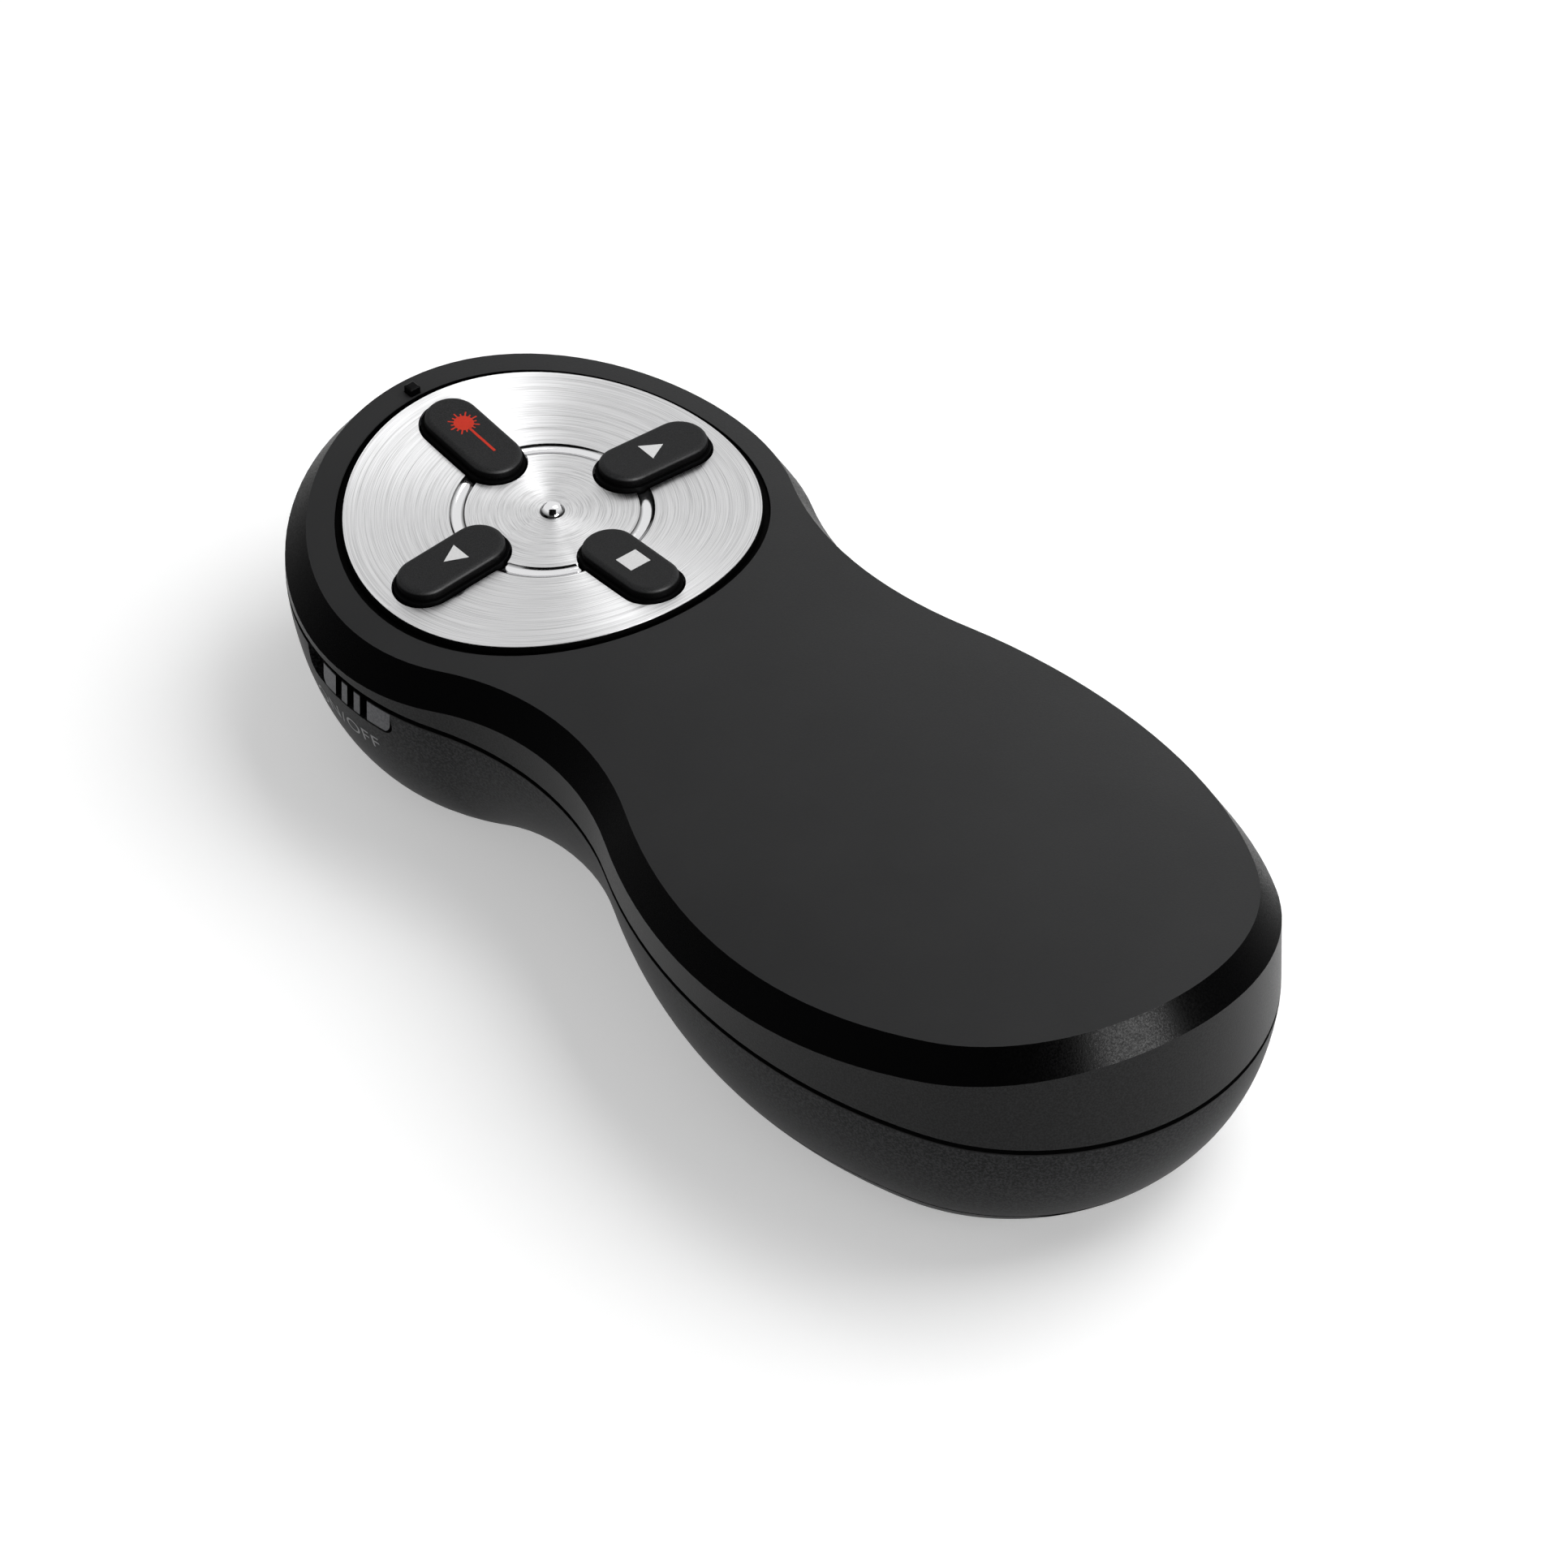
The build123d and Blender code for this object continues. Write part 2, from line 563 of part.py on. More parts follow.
def make_knob():
    mid_z, mid_y = knob_height(), knob_mid()
    profile = knob_profile(KNOB_LENGTH, KNOB_HEIGHT, SLOT_CORNER - RUN, mid_y, mid_z + KNOB_HEIGHT / 2)
    knob = Pos(-HEAD_RADIUS, 0, 0) * extrude(profile, GUIDE_IN)
    knob &= post(HEAD_RADIUS - KNOB_SINK, 0, HEAD_Y, 0, TALL)
    for i in range(KNOB_NOTCHES):
        y = mid_y + KNOB_NOTCH_AHEAD + (i - (KNOB_NOTCHES - 1) / 2) * KNOB_NOTCH_PITCH
        face_x = -sqrt((HEAD_RADIUS - KNOB_SINK) ** 2 - (y - HEAD_Y) ** 2)
        knob -= Pos(face_x, y, mid_z) * Box(2 * KNOB_NOTCH_DEPTH, KNOB_NOTCH_WIDTH, 2 * KNOB_HEIGHT)
    guide_x = GUIDE_IN - HEAD_RADIUS
    guide = block(guide_x, guide_x + GUIDE_THICKNESS, mid_y - GUIDE_LENGTH / 2, mid_y + GUIDE_LENGTH / 2,
                  mid_z - GUIDE_HEIGHT / 2, mid_z + GUIDE_HEIGHT / 2)
    return knob + guide - stem_box(guide_x, TALL)


def stem_box(x0, x1):
    """Stretch of the switch's stem."""
    mid_y, mid_z = knob_mid(), stem_height()
    return block(x0, x1, mid_y - STEM_WIDTH / 2, mid_y + STEM_WIDTH / 2,
                 mid_z - STEM_HEIGHT / 2, mid_z + STEM_HEIGHT / 2)


def switch_face():
    """X of the power switch's outer face."""
    return GUIDE_IN - HEAD_RADIUS + GUIDE_THICKNESS + 2 * RUN


def make_stem():
    """Stem from the knob's guide plate into the switch."""
    return stem_box(GUIDE_IN - HEAD_RADIUS, switch_face() + STEM_IN)


def make_switch_body():
    """Slide switch under the board, its top face against the board's underside."""
    x0, mid_z = switch_face(), stem_height()
    mid_y = knob_mid() + KNOB_TRAVEL / 2
    body = block(x0, x0 + SWITCH_WIDTH, mid_y - SWITCH_LENGTH / 2, mid_y + SWITCH_LENGTH / 2,
                 mid_z - SWITCH_HEIGHT / 2, mid_z + SWITCH_HEIGHT)
    body -= on_top(block(-TALL, TALL, -TALL, TALL, BOARD_UNDER, 0))
    room = (KNOB_TRAVEL + STEM_WIDTH) / 2 + RUN
    return body - block(x0, x0 + STEM_IN + RUN, mid_y - room, mid_y + room,
                        mid_z - STEM_HEIGHT / 2 - RUN, mid_z + STEM_HEIGHT / 2 + RUN)


# ---------------------------------------------------------------- battery bay
def cell_channels(radius, y0, y1):
    return [rod(radius, side * CELL_SPACING / 2, CELL_CENTRE, y0, y1) for side in (-1, 1)]


def tray_ends():
    """Rear and front outer faces of the tray."""
    return back(CELL_REAR + CONTACT_ROOM + TRAY_END), back(CELL_FRONT)


def make_tray(inner):
    """Moulded cradle over the cells, open below; its rear wall carries a bracket for the door."""
    rear, front = tray_ends()
    body = block(-TRAY_HALF, TRAY_HALF, rear, front, TRAY_FLOOR, TRAY_TOP)
    hollow_rear = rear + TRAY_END
    radius = CELL_RADIUS + CELL_ROOM
    body -= cell_channels(radius, hollow_rear, front)
    half = CELL_SPACING / 2 + radius
    body -= block(-half, half, hollow_rear, front, 0, CELL_CENTRE)
    contact_top = CELL_CENTRE + CELL_RADIUS / 2 + FIT
    body -= block(-half, half, hollow_rear, hollow_rear + CONTACT_ROOM, 0, contact_top)
    bracket_front = back(BRACKET_REAR - BRACKET_LENGTH)
    body += block(-FINGER_WIDTH / 2, FINGER_WIDTH / 2, rear, bracket_front,
                  TRAY_FLOOR, TRAY_FLOOR + FINGER_THICKNESS)
    body += bracket(back(BRACKET_REAR), bracket_front)
    return body & inner


def make_cell(side):
    """AAA cell with its nub: the left one points to the front, the right one to the rear."""
    x, rear, front = side * CELL_SPACING / 2, back(CELL_REAR), back(CELL_FRONT)
    can = rod(CELL_RADIUS, x, CELL_CENTRE, rear + CELL_NUB * (side > 0), front - CELL_NUB * (side < 0))
    can = chamfer(can.edges().filter_by(GeomType.CIRCLE), CELL_RADIUS / 12)
    return can + rod(CELL_NUB_RADIUS, x, CELL_CENTRE, rear, front)


def leaf(x, wall_y, towards):
    """Bowed contact strip between a wall and a cell's end."""
    half, base = LEAF_LENGTH / 2, CONTACT_THICKNESS * towards
    bow = (CONTACT_ROOM - CONTACT_THICKNESS) * towards
    outer = ThreePointArc((-half, 0), (0, bow), (half, 0))
    inner = ThreePointArc((half, -base), (0, bow - base), (-half, -base))
    strip = make_face([outer, Line(outer @ 1, inner @ 0), inner, Line(inner @ 1, outer @ 0)])
    return Pos(x, wall_y + base, CELL_CENTRE) * extrude(strip, LEAF_WIDTH / 2, both=True)


def contact_plate(x, half, y0, y1):
    return block(x - half, x + half, y0, y1, CELL_CENTRE - CELL_RADIUS / 2, CELL_CENTRE + CELL_RADIUS / 2)


def make_rear_contact():
    """One strip joins both cells at the rear, bowed against each."""
    wall = tray_ends()[0] + TRAY_END
    strip = contact_plate(0, CELL_SPACING / 2 + CONTACT_REACH, wall, wall + CONTACT_THICKNESS)
    return strip + [leaf(side * CELL_SPACING / 2, wall, 1) for side in (-1, 1)]


def make_front_contacts():
    """A plate for each cell on the bulkhead, bowed against it."""
    wall = back(DOOR_FRONT) + DOOR_GAP
    plates = [contact_plate(side * CELL_SPACING / 2, CONTACT_REACH, wall - CONTACT_THICKNESS, wall)
              for side in (-1, 1)]
    return parts_of(*plates)


def door_room(gap):
    """Everything below the door's level parting line and behind its front edge."""
    return block(-TAIL_WIDTH, TAIL_WIDTH, -LENGTH, back(DOOR_FRONT) - gap, -1, DOOR_HEIGHT - gap)


def rail_body(grow, y0, y1):
    """T-section along the door, `grow` larger all round."""
    stem, head = RAIL_STEM / 2 + grow, RAIL_HEAD_WIDTH / 2 + grow
    foot = RAIL_TOP - RAIL_HEAD - grow
    web = block(-stem, stem, y0, y1, WALL / 2, RAIL_TOP)
    return web + block(-head, head, y0, y1, foot, RAIL_TOP + grow)


def bracket(y0, y1):
    """C-section that holds the door's rail up; its roof is narrower, to clear the cells."""
    half = RAIL_HEAD_WIDTH / 2 + DOOR_GAP + BRACKET_WALL
    shoulder = RAIL_TOP + DOOR_GAP
    roof = half - BRACKET_WALL + DOOR_GAP
    body = block(-half, half, y0, y1, WALL + DOOR_GAP, shoulder)
    body += block(-roof, roof, y0, y1, shoulder, shoulder + BRACKET_ROOF)
    return body - rail_body(DOOR_GAP, y0, y1)


def make_door(outer, inner):
    """Underside of the tail: it slides off to the rear on its rail."""
    door = (outer - inner) & door_room(0)
    # level floor for the brackets, where the arch lifts it
    half = RAIL_HEAD_WIDTH / 2 + 2 * DOOR_GAP + BRACKET_WALL
    arch_foot = back(ARCH_BACK + ARCH_LENGTH / 2 + WALL)
    door -= block(-half, half, arch_foot, back(DOOR_FRONT) + 1, WALL, DOOR_HEIGHT)
    door += rail_body(0, back(RAIL_REAR), back(DOOR_FRONT + 1))
    # grooves that pass the cells as it slides
    door -= cell_channels(CELL_RADIUS + RUN, -LENGTH, back(DOOR_FRONT) + 1)
    for i in range(GRIP_RIBS):
        y = back(GRIP_REAR) + i * GRIP_PITCH
        door -= Pos(0, y, 0) * Rot(45, 0, 0) * Box(GRIP_LENGTH, GRIP_WIDTH, GRIP_WIDTH)
    return door


# ---------------------------------------------------------------- receiver
def receiver_box(grow, z0, z1):
    half = RECEIVER_WIDTH / 2 + grow
    front = HEAD_Y + RECEIVER_FRONT
    rear = front - RECEIVER_CASE - PLUG_LENGTH
    return block(-half, half, rear - grow, front + grow, z0, z1)


def plug_box(margin):
    """Plug's outer body drawn in by `margin`, behind the case."""
    front = HEAD_Y + RECEIVER_FRONT - RECEIVER_CASE
    half, mid = PLUG_WIDTH / 2 - margin, RECEIVER_UP + RECEIVER_THICKNESS / 2
    rise = PLUG_THICKNESS / 2 - margin
    return block(-half, half, front - PLUG_LENGTH, front, mid - rise, mid + rise)


def make_receiver_case():
    front = HEAD_Y + RECEIVER_FRONT
    body = block(-RECEIVER_WIDTH / 2, RECEIVER_WIDTH / 2, front - RECEIVER_CASE, front,
                 RECEIVER_UP, RECEIVER_UP + RECEIVER_THICKNESS)
    body = fillet(body.edges().filter_by(Axis.Z), RECEIVER_CORNER)
    return chamfer(body.edges().group_by(Axis.Z)[0], RECEIVER_EDGE)


def make_plug_shell():
    shell = plug_box(0) - plug_box(PLUG_SHELL)
    mid_y = HEAD_Y + RECEIVER_FRONT - RECEIVER_CASE - PLUG_WINDOW_BACK
    window = Box(PLUG_WINDOW, PLUG_WINDOW, TALL)
    return shell - [Pos(side * PLUG_WIDTH / 4, mid_y, 0) * window for side in (-1, 1)]


def make_tongue():
    """Insulating tongue with its contact strips' side up, in the plug's upper half."""
    room = plug_box(PLUG_SHELL)
    top = RECEIVER_UP + RECEIVER_THICKNESS / 2 + PLUG_THICKNESS / 2 - PLUG_SHELL
    return room & block(-TALL, TALL, -TALL, 2 * TALL, top - TONGUE_THICKNESS, top)


# ---------------------------------------------------------------- screws and the bosses they join
def housing_posts():
    """Place, height of the screw head's seat and height where the two bosses meet."""
    front = [(side * FRONT_POST_SIDE, HEAD_Y + FRONT_POST_AHEAD, FRONT_SEAT) for side in (-1, 1)]
    tail = [(side * TAIL_POST_SIDE, TAIL_Y, TAIL_SEAT) for side in (-1, 1)]
    return front + tail


def boss_joint(seat):
    return seat + SCREW_LENGTH / 2


def make_housing_screws():
    screws = []
    for x, y, seat in housing_posts():
        head = post(SCREW_HEAD_RADIUS, x, y, seat - SCREW_HEAD, seat)
        screws.append(head + post(SCREW_RADIUS, x, y, seat, seat + SCREW_LENGTH))
    return parts_of(*screws)


# ---------------------------------------------------------------- shells
def make_upper_housing():
    skirt = SEAM_Z + SEAM_GAP / 2
    body = prism(0, skirt, skirt + TALL) & under_crown(0)
    top = body.faces().sort_by(Axis.Z)[-1]
    body = chamfer(top.edges(), BEVEL_IN, BEVEL_DROP, reference=top)
    hollow = prism(WALL, skirt, skirt + TALL) & under_crown(TOP_WALL)
    hollow -= on_top(post(PLATE_RADIUS + PLATE_GAP + WELL_WALL, 0, 0, -WELL_FLOOR, TALL))
    room = prism(WALL, 0, TALL) & under_crown(TOP_WALL)
    bosses = [post(POST_RADIUS, x, y, boss_joint(seat), TALL) for x, y, seat in housing_posts()]
    bosses += [on_top(post(POST_RADIUS - RUN, *place, BOARD_TOP, 0)) for place in board_screw_places()]
    body -= hollow
    for boss in bosses:
        body += boss & room
    lip_top = skirt + LIP_HEIGHT
    body -= prism(WALL - LIP - FIT, skirt - 1, lip_top) - prism(WALL, skirt - 1, lip_top)
    # key well with the plate's seat, the keys' holes, the stud's hole and the lens's slot
    well = Cylinder(PLATE_RADIUS + PLATE_GAP, TALL) & saddle(PLATE_UNDER + TALL / 4, TALL / 4)
    body -= on_top(well)
    body -= [on_top(hole) for hole in each_key(slot_prism(RUN, -TALL / 2, TALL / 2))]
    body -= on_top(Cylinder(STUD_SHANK, TALL))
    half = LENS_SIZE / 2 + FIT / 2
    body -= on_top(block(-half, half, LENS_OUT - half, LENS_OUT + half, -TALL / 2, TALL / 2))
    body -= [post(SCREW_RADIUS, x, y, 0, seat + SCREW_LENGTH) for x, y, seat in housing_posts()]
    pilots = [post(SCREW_RADIUS, *place, -TALL, BOARD_UNDER + BOARD_SCREW_LENGTH)
              for place in board_screw_places()]
    return body - [on_top(pilot) for pilot in pilots]


def make_lower_housing(outer, inner):
    rim = SEAM_Z - SEAM_GAP / 2
    body = outer - inner
    tongue = prism(WALL - LIP, rim - 1, rim + LIP_HEIGHT) - prism(WALL, rim - 1, rim + LIP_HEIGHT)
    body -= block(-TAIL_WIDTH, TAIL_WIDTH, -LENGTH, LENGTH, rim, TALL)
    body += tongue
    body -= door_room(-DOOR_GAP)
    # bulkhead in front of the battery bay
    front = back(DOOR_FRONT) + DOOR_GAP
    body += block(-TAIL_WIDTH, TAIL_WIDTH, front, front + BULKHEAD, 0, TRAY_TOP) & outer
    body += bracket(front - DOOR_GAP - BRACKET_LENGTH, front)
    body -= cell_channels(CELL_RADIUS + FIT, back(CELL_REAR), front)
    # receiver's pocket
    shell = receiver_box(POCKET_ROOM + POCKET_WALL, 0, POCKET_TOP + POCKET_WALL) & outer
    body = body + shell - receiver_box(POCKET_ROOM, -1, POCKET_TOP)
    # cradle under the laser's barrel
    mid = HEAD_Y + BARREL_FRONT - BARREL_LENGTH / 3
    rear, front = mid - CRADLE_THICKNESS / 2, mid + CRADLE_THICKNESS / 2
    cradle = block(-CRADLE_WIDTH / 2, CRADLE_WIDTH / 2, rear, front, 0, LASER_Z)
    body += cradle & outer
    body -= rod(BARREL_RADIUS, 0, LASER_Z, HEAD_Y, HEAD_Y + BARREL_FRONT)
    body -= rod(WINDOW_RADIUS, 0, LASER_Z, HEAD_Y + BARREL_FRONT, LENGTH)
    # screw bosses, their heads' recesses and holes
    for x, y, seat in housing_posts():
        foot = TRAY_FLOOR if y < back(DOOR_FRONT) else 0
        body += post(BOSS_RADIUS, x, y, foot, boss_joint(seat) - FIT) & outer
        body -= post(SCREW_HEAD_RADIUS + FIT, x, y, -1, seat)
        body -= post(SCREW_RADIUS + FIT, x, y, 0, TALL)
    return body - make_knob_slot()


def build():
    outer, inner = belly(0, BELLY_TURNS, ruled=False), belly(WALL)
    room = belly(WALL + FIT)
    nodes = {
        "upper_housing": make_upper_housing(),
        "lower_housing": make_lower_housing(outer, inner),
        "battery_door": make_door(outer, inner),
        "keypad_plate": make_plate(),
        "centre_stud": make_stud(),
        "main_board": make_board(),
        "controller_chip": make_chip(),
        "crystal_can": make_crystal(),
        "indicator_led": make_led(),
        "indicator_lens": make_indicator_lens(),
        "board_screws": make_board_screws(),
        "laser_barrel": make_barrel(),
        "laser_lens": make_laser_lens(),
        "laser_diode": make_diode(),
        "laser_window": make_window(outer),
        "power_knob": make_knob(),
        "power_switch_stem": make_stem(),
        "power_switch_body": make_switch_body(),
        "battery_tray": make_tray(room),
        "battery_left": make_cell(-1),
        "battery_right": make_cell(1),
        "rear_bridge_contact": make_rear_contact(),
        "front_contacts": make_front_contacts(),
        "receiver_case": make_receiver_case(),
        "receiver_plug_shell": make_plug_shell(),
        "receiver_tongue": make_tongue(),
        "housing_screws": make_housing_screws(),
    }
    for name in KEYS:
        nodes[name + "_button"] = make_key(name)
        nodes[name + "_plunger"] = make_plunger(name)
        nodes[name + "_switch"] = make_tact(name)
    return nodes


os.makedirs("parts", exist_ok=True)
for node, shape in build().items():
    export_step(shape, f"parts/{node}.step")
    print(node, len(shape.solids()), round(shape.volume, 1))
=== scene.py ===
import json
from math import asin, cos, pi, radians, sin, sqrt

import bmesh
import bpy
from mathutils import Matrix, Vector
from mathutils.bvhtree import BVHTree


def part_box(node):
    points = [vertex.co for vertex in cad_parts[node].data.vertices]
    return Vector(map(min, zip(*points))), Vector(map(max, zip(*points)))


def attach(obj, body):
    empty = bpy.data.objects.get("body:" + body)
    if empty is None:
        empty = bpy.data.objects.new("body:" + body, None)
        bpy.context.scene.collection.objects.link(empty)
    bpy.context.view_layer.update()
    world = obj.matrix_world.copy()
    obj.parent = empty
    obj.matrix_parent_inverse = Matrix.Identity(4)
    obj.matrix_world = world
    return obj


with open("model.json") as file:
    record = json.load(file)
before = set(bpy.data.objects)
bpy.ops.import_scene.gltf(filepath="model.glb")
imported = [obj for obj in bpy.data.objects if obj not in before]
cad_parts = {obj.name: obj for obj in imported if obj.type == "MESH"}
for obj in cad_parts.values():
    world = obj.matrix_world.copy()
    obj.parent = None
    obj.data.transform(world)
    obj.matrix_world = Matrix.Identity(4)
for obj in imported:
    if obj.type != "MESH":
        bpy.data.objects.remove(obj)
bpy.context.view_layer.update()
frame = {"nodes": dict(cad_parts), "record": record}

MM = 0.001

# ---------------------------------------------------------------- sizes of the solids, mm
HEAD_Y = 29.4               # middle of the head, of the plate and of the stud
CROWN_Z = 21.7              # height of the top frame's origin over that middle
TOP_SLOPE = radians(3.27)   # the top frame leans down towards the laser end
RING_RADIUS = 7.5
RING_WIDTH = 1.15
RING_DEPTH = 0.3
PLATE_SINK = 0.8
PLATE_CROWN_RADIUS = 143.5
PLATE_DISH_RADIUS = 132.9
PLATE_RADIUS = 16.5
PLATE_GAP = 0.65
KEY_WIDTH = 4.95
SEAM_LOW = 14.52            # the lower shell is painted shade black above this height
KNOB_MID_Z = 13.25
KNOB_PAD_HALF = 1.03        # the knob's pads are grey within this of that height,
KNOB_PAD_BLEND = 0.10       # with a soft edge
CELL_SHOULDER = 1.4         # bare metal at each end of a cell

TOP = Matrix.Translation((0, HEAD_Y * MM, CROWN_Z * MM)) @ Matrix.Rotation(-TOP_SLOPE, 4, "X")
TOP_UP = (TOP.to_3x3() @ Vector((0, 0, 1))).normalized()


def top_point(x, y, z=0.0):
    """Point given in mm in the top frame."""
    return TOP @ Vector((x * MM, y * MM, z * MM))


# ---------------------------------------------------------------- materials
# near-black colours of painted shade, for gaps, the seam and the sides of keys and knob
DEAD_SHADE_BLACK = (0.0006, 0.0006, 0.0006)
SOFT_SHADE_BLACK = (0.001, 0.001, 0.0011)


def new_material(name):
    mat = bpy.data.materials.new(name)
    mat.use_nodes = True
    nodes = mat.node_tree.nodes
    shader = next(n for n in nodes if n.type == "BSDF_PRINCIPLED")
    return mat, shader


class Graph:
    """Short way to add and join nodes in one material."""

    def __init__(self, name, color, roughness, metallic=0.0, specular=0.5):
        self.mat, self.shader = new_material(name)
        self.tree = self.mat.node_tree
        self.shader.inputs["Base Color"].default_value = (*color, 1)
        self.shader.inputs["Roughness"].default_value = roughness
        self.shader.inputs["Metallic"].default_value = metallic
        self.shader.inputs["Specular IOR Level"].default_value = specular
        self.coords = self.add("ShaderNodeTexCoord").outputs["Object"]

    def add(self, kind, **settings):
        node = self.tree.nodes.new(kind)
        for key, value in settings.items():
            setattr(node, key, value)
        return node

    def join(self, out, into):
        self.tree.links.new(out, into)

    def math(self, operation, a, b=None):
        node = self.add("ShaderNodeMath", operation=operation)
        for i, value in enumerate((a, b)):
            if value is None:
                continue
            if isinstance(value, (int, float)):
                node.inputs[i].default_value = value
            else:
                self.join(value, node.inputs[i])
        return node.outputs[0]

    def split(self, vector):
        """X, Y and Z parts of a vector."""
        node = self.add("ShaderNodeSeparateXYZ")
        self.join(vector, node.inputs[0])
        return node.outputs

    def facing(self):
        """X, Y and Z parts of the surface's normal."""
        return self.split(self.add("ShaderNodeNewGeometry").outputs["Normal"])

    def in_mm(self, length):
        return self.math("MULTIPLY", length, 1000.0)

    def from_stud(self):
        """Place seen from above, in mm from the plate's middle."""
        place = self.split(self.coords)
        return self.in_mm(place["X"]), self.math("SUBTRACT", self.in_mm(place["Y"]), HEAD_Y)

    def distance(self, x, y):
        squares = self.math("ADD", self.math("MULTIPLY", x, x), self.math("MULTIPLY", y, y))
        return self.math("SQRT", squares)

    def noise(self, size_mm, detail=2.0, roughness=0.5, stretch=None):
        """Noise whose features are about `size_mm` across."""
        vector = self.coords
        if stretch:
            mapping = self.add("ShaderNodeMapping")
            mapping.inputs["Scale"].default_value = stretch
            self.join(vector, mapping.inputs["Vector"])
            vector = mapping.outputs["Vector"]
        return self.noise_at(vector, 1 / (size_mm * MM), detail, roughness)

    def noise_at(self, vector, scale, detail, roughness):
        node = self.add("ShaderNodeTexNoise")
        node.inputs["Scale"].default_value = scale
        node.inputs["Detail"].default_value = detail
        node.inputs["Roughness"].default_value = roughness
        self.join(vector, node.inputs["Vector"])
        return node.outputs["Fac"]

    def remap(self, value, low, high, new_low, new_high):
        node = self.add("ShaderNodeMapRange")
        self.join(value, node.inputs["Value"])
        for name, number in zip(("From Min", "From Max", "To Min", "To Max"), (low, high, new_low, new_high)):
            node.inputs[name].default_value = number
        return node.outputs["Result"]

    def ramp(self, value, low, high):
        """0 at `low`, 1 at `high`, held beyond them."""
        return self.remap(value, low, high, 0.0, 1.0)

    def mix_color(self, factor, a, b):
        node = self.add("ShaderNodeMix", data_type="RGBA")
        self.join(factor, node.inputs["Factor"])
        for value, socket in ((a, node.inputs["A"]), (b, node.inputs["B"])):
            if isinstance(value, tuple):
                socket.default_value = (*value, 1)
            else:
                self.join(value, socket)
        return node.outputs["Result"]

    def shades(self, value, low, high, dark, light):
        """Colour that runs from `dark` to `light` while the value runs from `low` to `high`."""
        return self.mix_color(self.ramp(value, low, high), dark, light)

    def bump(self, height, depth_mm, strength=1.0):
        node = self.add("ShaderNodeBump")
        node.inputs["Strength"].default_value = strength
        node.inputs["Distance"].default_value = depth_mm * MM
        self.join(height, node.inputs["Height"])
        self.join(node.outputs["Normal"], self.shader.inputs["Normal"])

    def color(self, value):
        self.join(value, self.shader.inputs["Base Color"])

    def roughness(self, value):
        self.join(value, self.shader.inputs["Roughness"])

    def specular(self, value):
        self.join(value, self.shader.inputs["Specular IOR Level"])


def moulded(name, color, roughness, grain_mm, depth_mm, spread=0.15, specular=0.5):
    """Moulded plastic: fine grain in the surface, slightly uneven colour and gloss."""
    g = Graph(name, color, roughness, specular=specular)
    grain = g.noise(grain_mm, detail=3.0)
    cloud = g.noise(6.0)
    dark = tuple(c * (1 - spread) for c in color)
    light = tuple(c * (1 + spread) for c in color)
    g.color(g.shades(cloud, 0.3, 0.7, dark, light))
    g.roughness(g.remap(grain, 0.3, 0.7, roughness - 0.05, roughness + 0.05))
    g.bump(grain, depth_mm)
    return g.mat


def top_shell():
    """Upper shell: matte top face, bevel painted near black as a painted dark reflection, satin sides, told
    apart by which way they face.
    """
    g = Graph("top_shell", (0.016, 0.0165, 0.018), 0.5, specular=0.11)
    grain = g.noise(0.16, detail=3.0, roughness=0.6)
    cloud = g.noise(9.0)
    up = g.facing()["Z"]
    face = g.ramp(up, 0.80, 0.88)
    side = g.ramp(up, 0.30, 0.18)
    matte = g.shades(cloud, 0.3, 0.7, (0.0184, 0.0186, 0.0192), (0.0212, 0.0214, 0.0220))
    satin = g.shades(grain, 0.40, 0.62, (0.0008, 0.0008, 0.0009), (0.0105, 0.0107, 0.0113))
    # painted dark reflection: the bevel, between the top face and the sides, is coloured near black
    edge = g.mix_color(side, (0.0006, 0.0006, 0.0007), satin)
    g.color(g.mix_color(face, edge, matte))
    dull = g.math("MAXIMUM", face, side)
    gloss = g.math("SUBTRACT", 1.0, dull)
    rough = g.math("SUBTRACT", g.remap(grain, 0.3, 0.7, 0.46, 0.56), g.math("MULTIPLY", side, 0.14))
    smooth = g.remap(grain, 0.35, 0.65, 0.22, 0.40)
    g.roughness(g.math("ADD", g.math("MULTIPLY", dull, rough), g.math("MULTIPLY", gloss, smooth)))
    shine = g.math("ADD", g.math("MULTIPLY", side, 0.13), g.math("MULTIPLY", face, 0.11))
    g.specular(g.math("ADD", shine, g.math("MULTIPLY", gloss, 0.012)))
    g.bump(grain, 0.009)
    return g.mat


def base_shell():
    """Lower shell: dark grey with a fine sparkling grain, painted shade black inside the seam."""
    g = Graph("base_shell", (0.012, 0.0122, 0.013), 0.5, specular=0.065)
    grain = g.noise(0.22, detail=4.0, roughness=0.7)
    grey = g.shades(grain, 0.43, 0.60, (0.003, 0.0031, 0.0033), (0.036, 0.0365, 0.038))
    # painted shade: black above SEAM_LOW, inside the seam
    painted_seam_shade = g.math("GREATER_THAN", g.split(g.coords)["Z"], SEAM_LOW * MM)
    g.color(g.mix_color(painted_seam_shade, grey, DEAD_SHADE_BLACK))
    g.roughness(g.remap(grain, 0.3, 0.7, 0.38, 0.52))
    g.bump(grain, 0.012)
    return g.mat


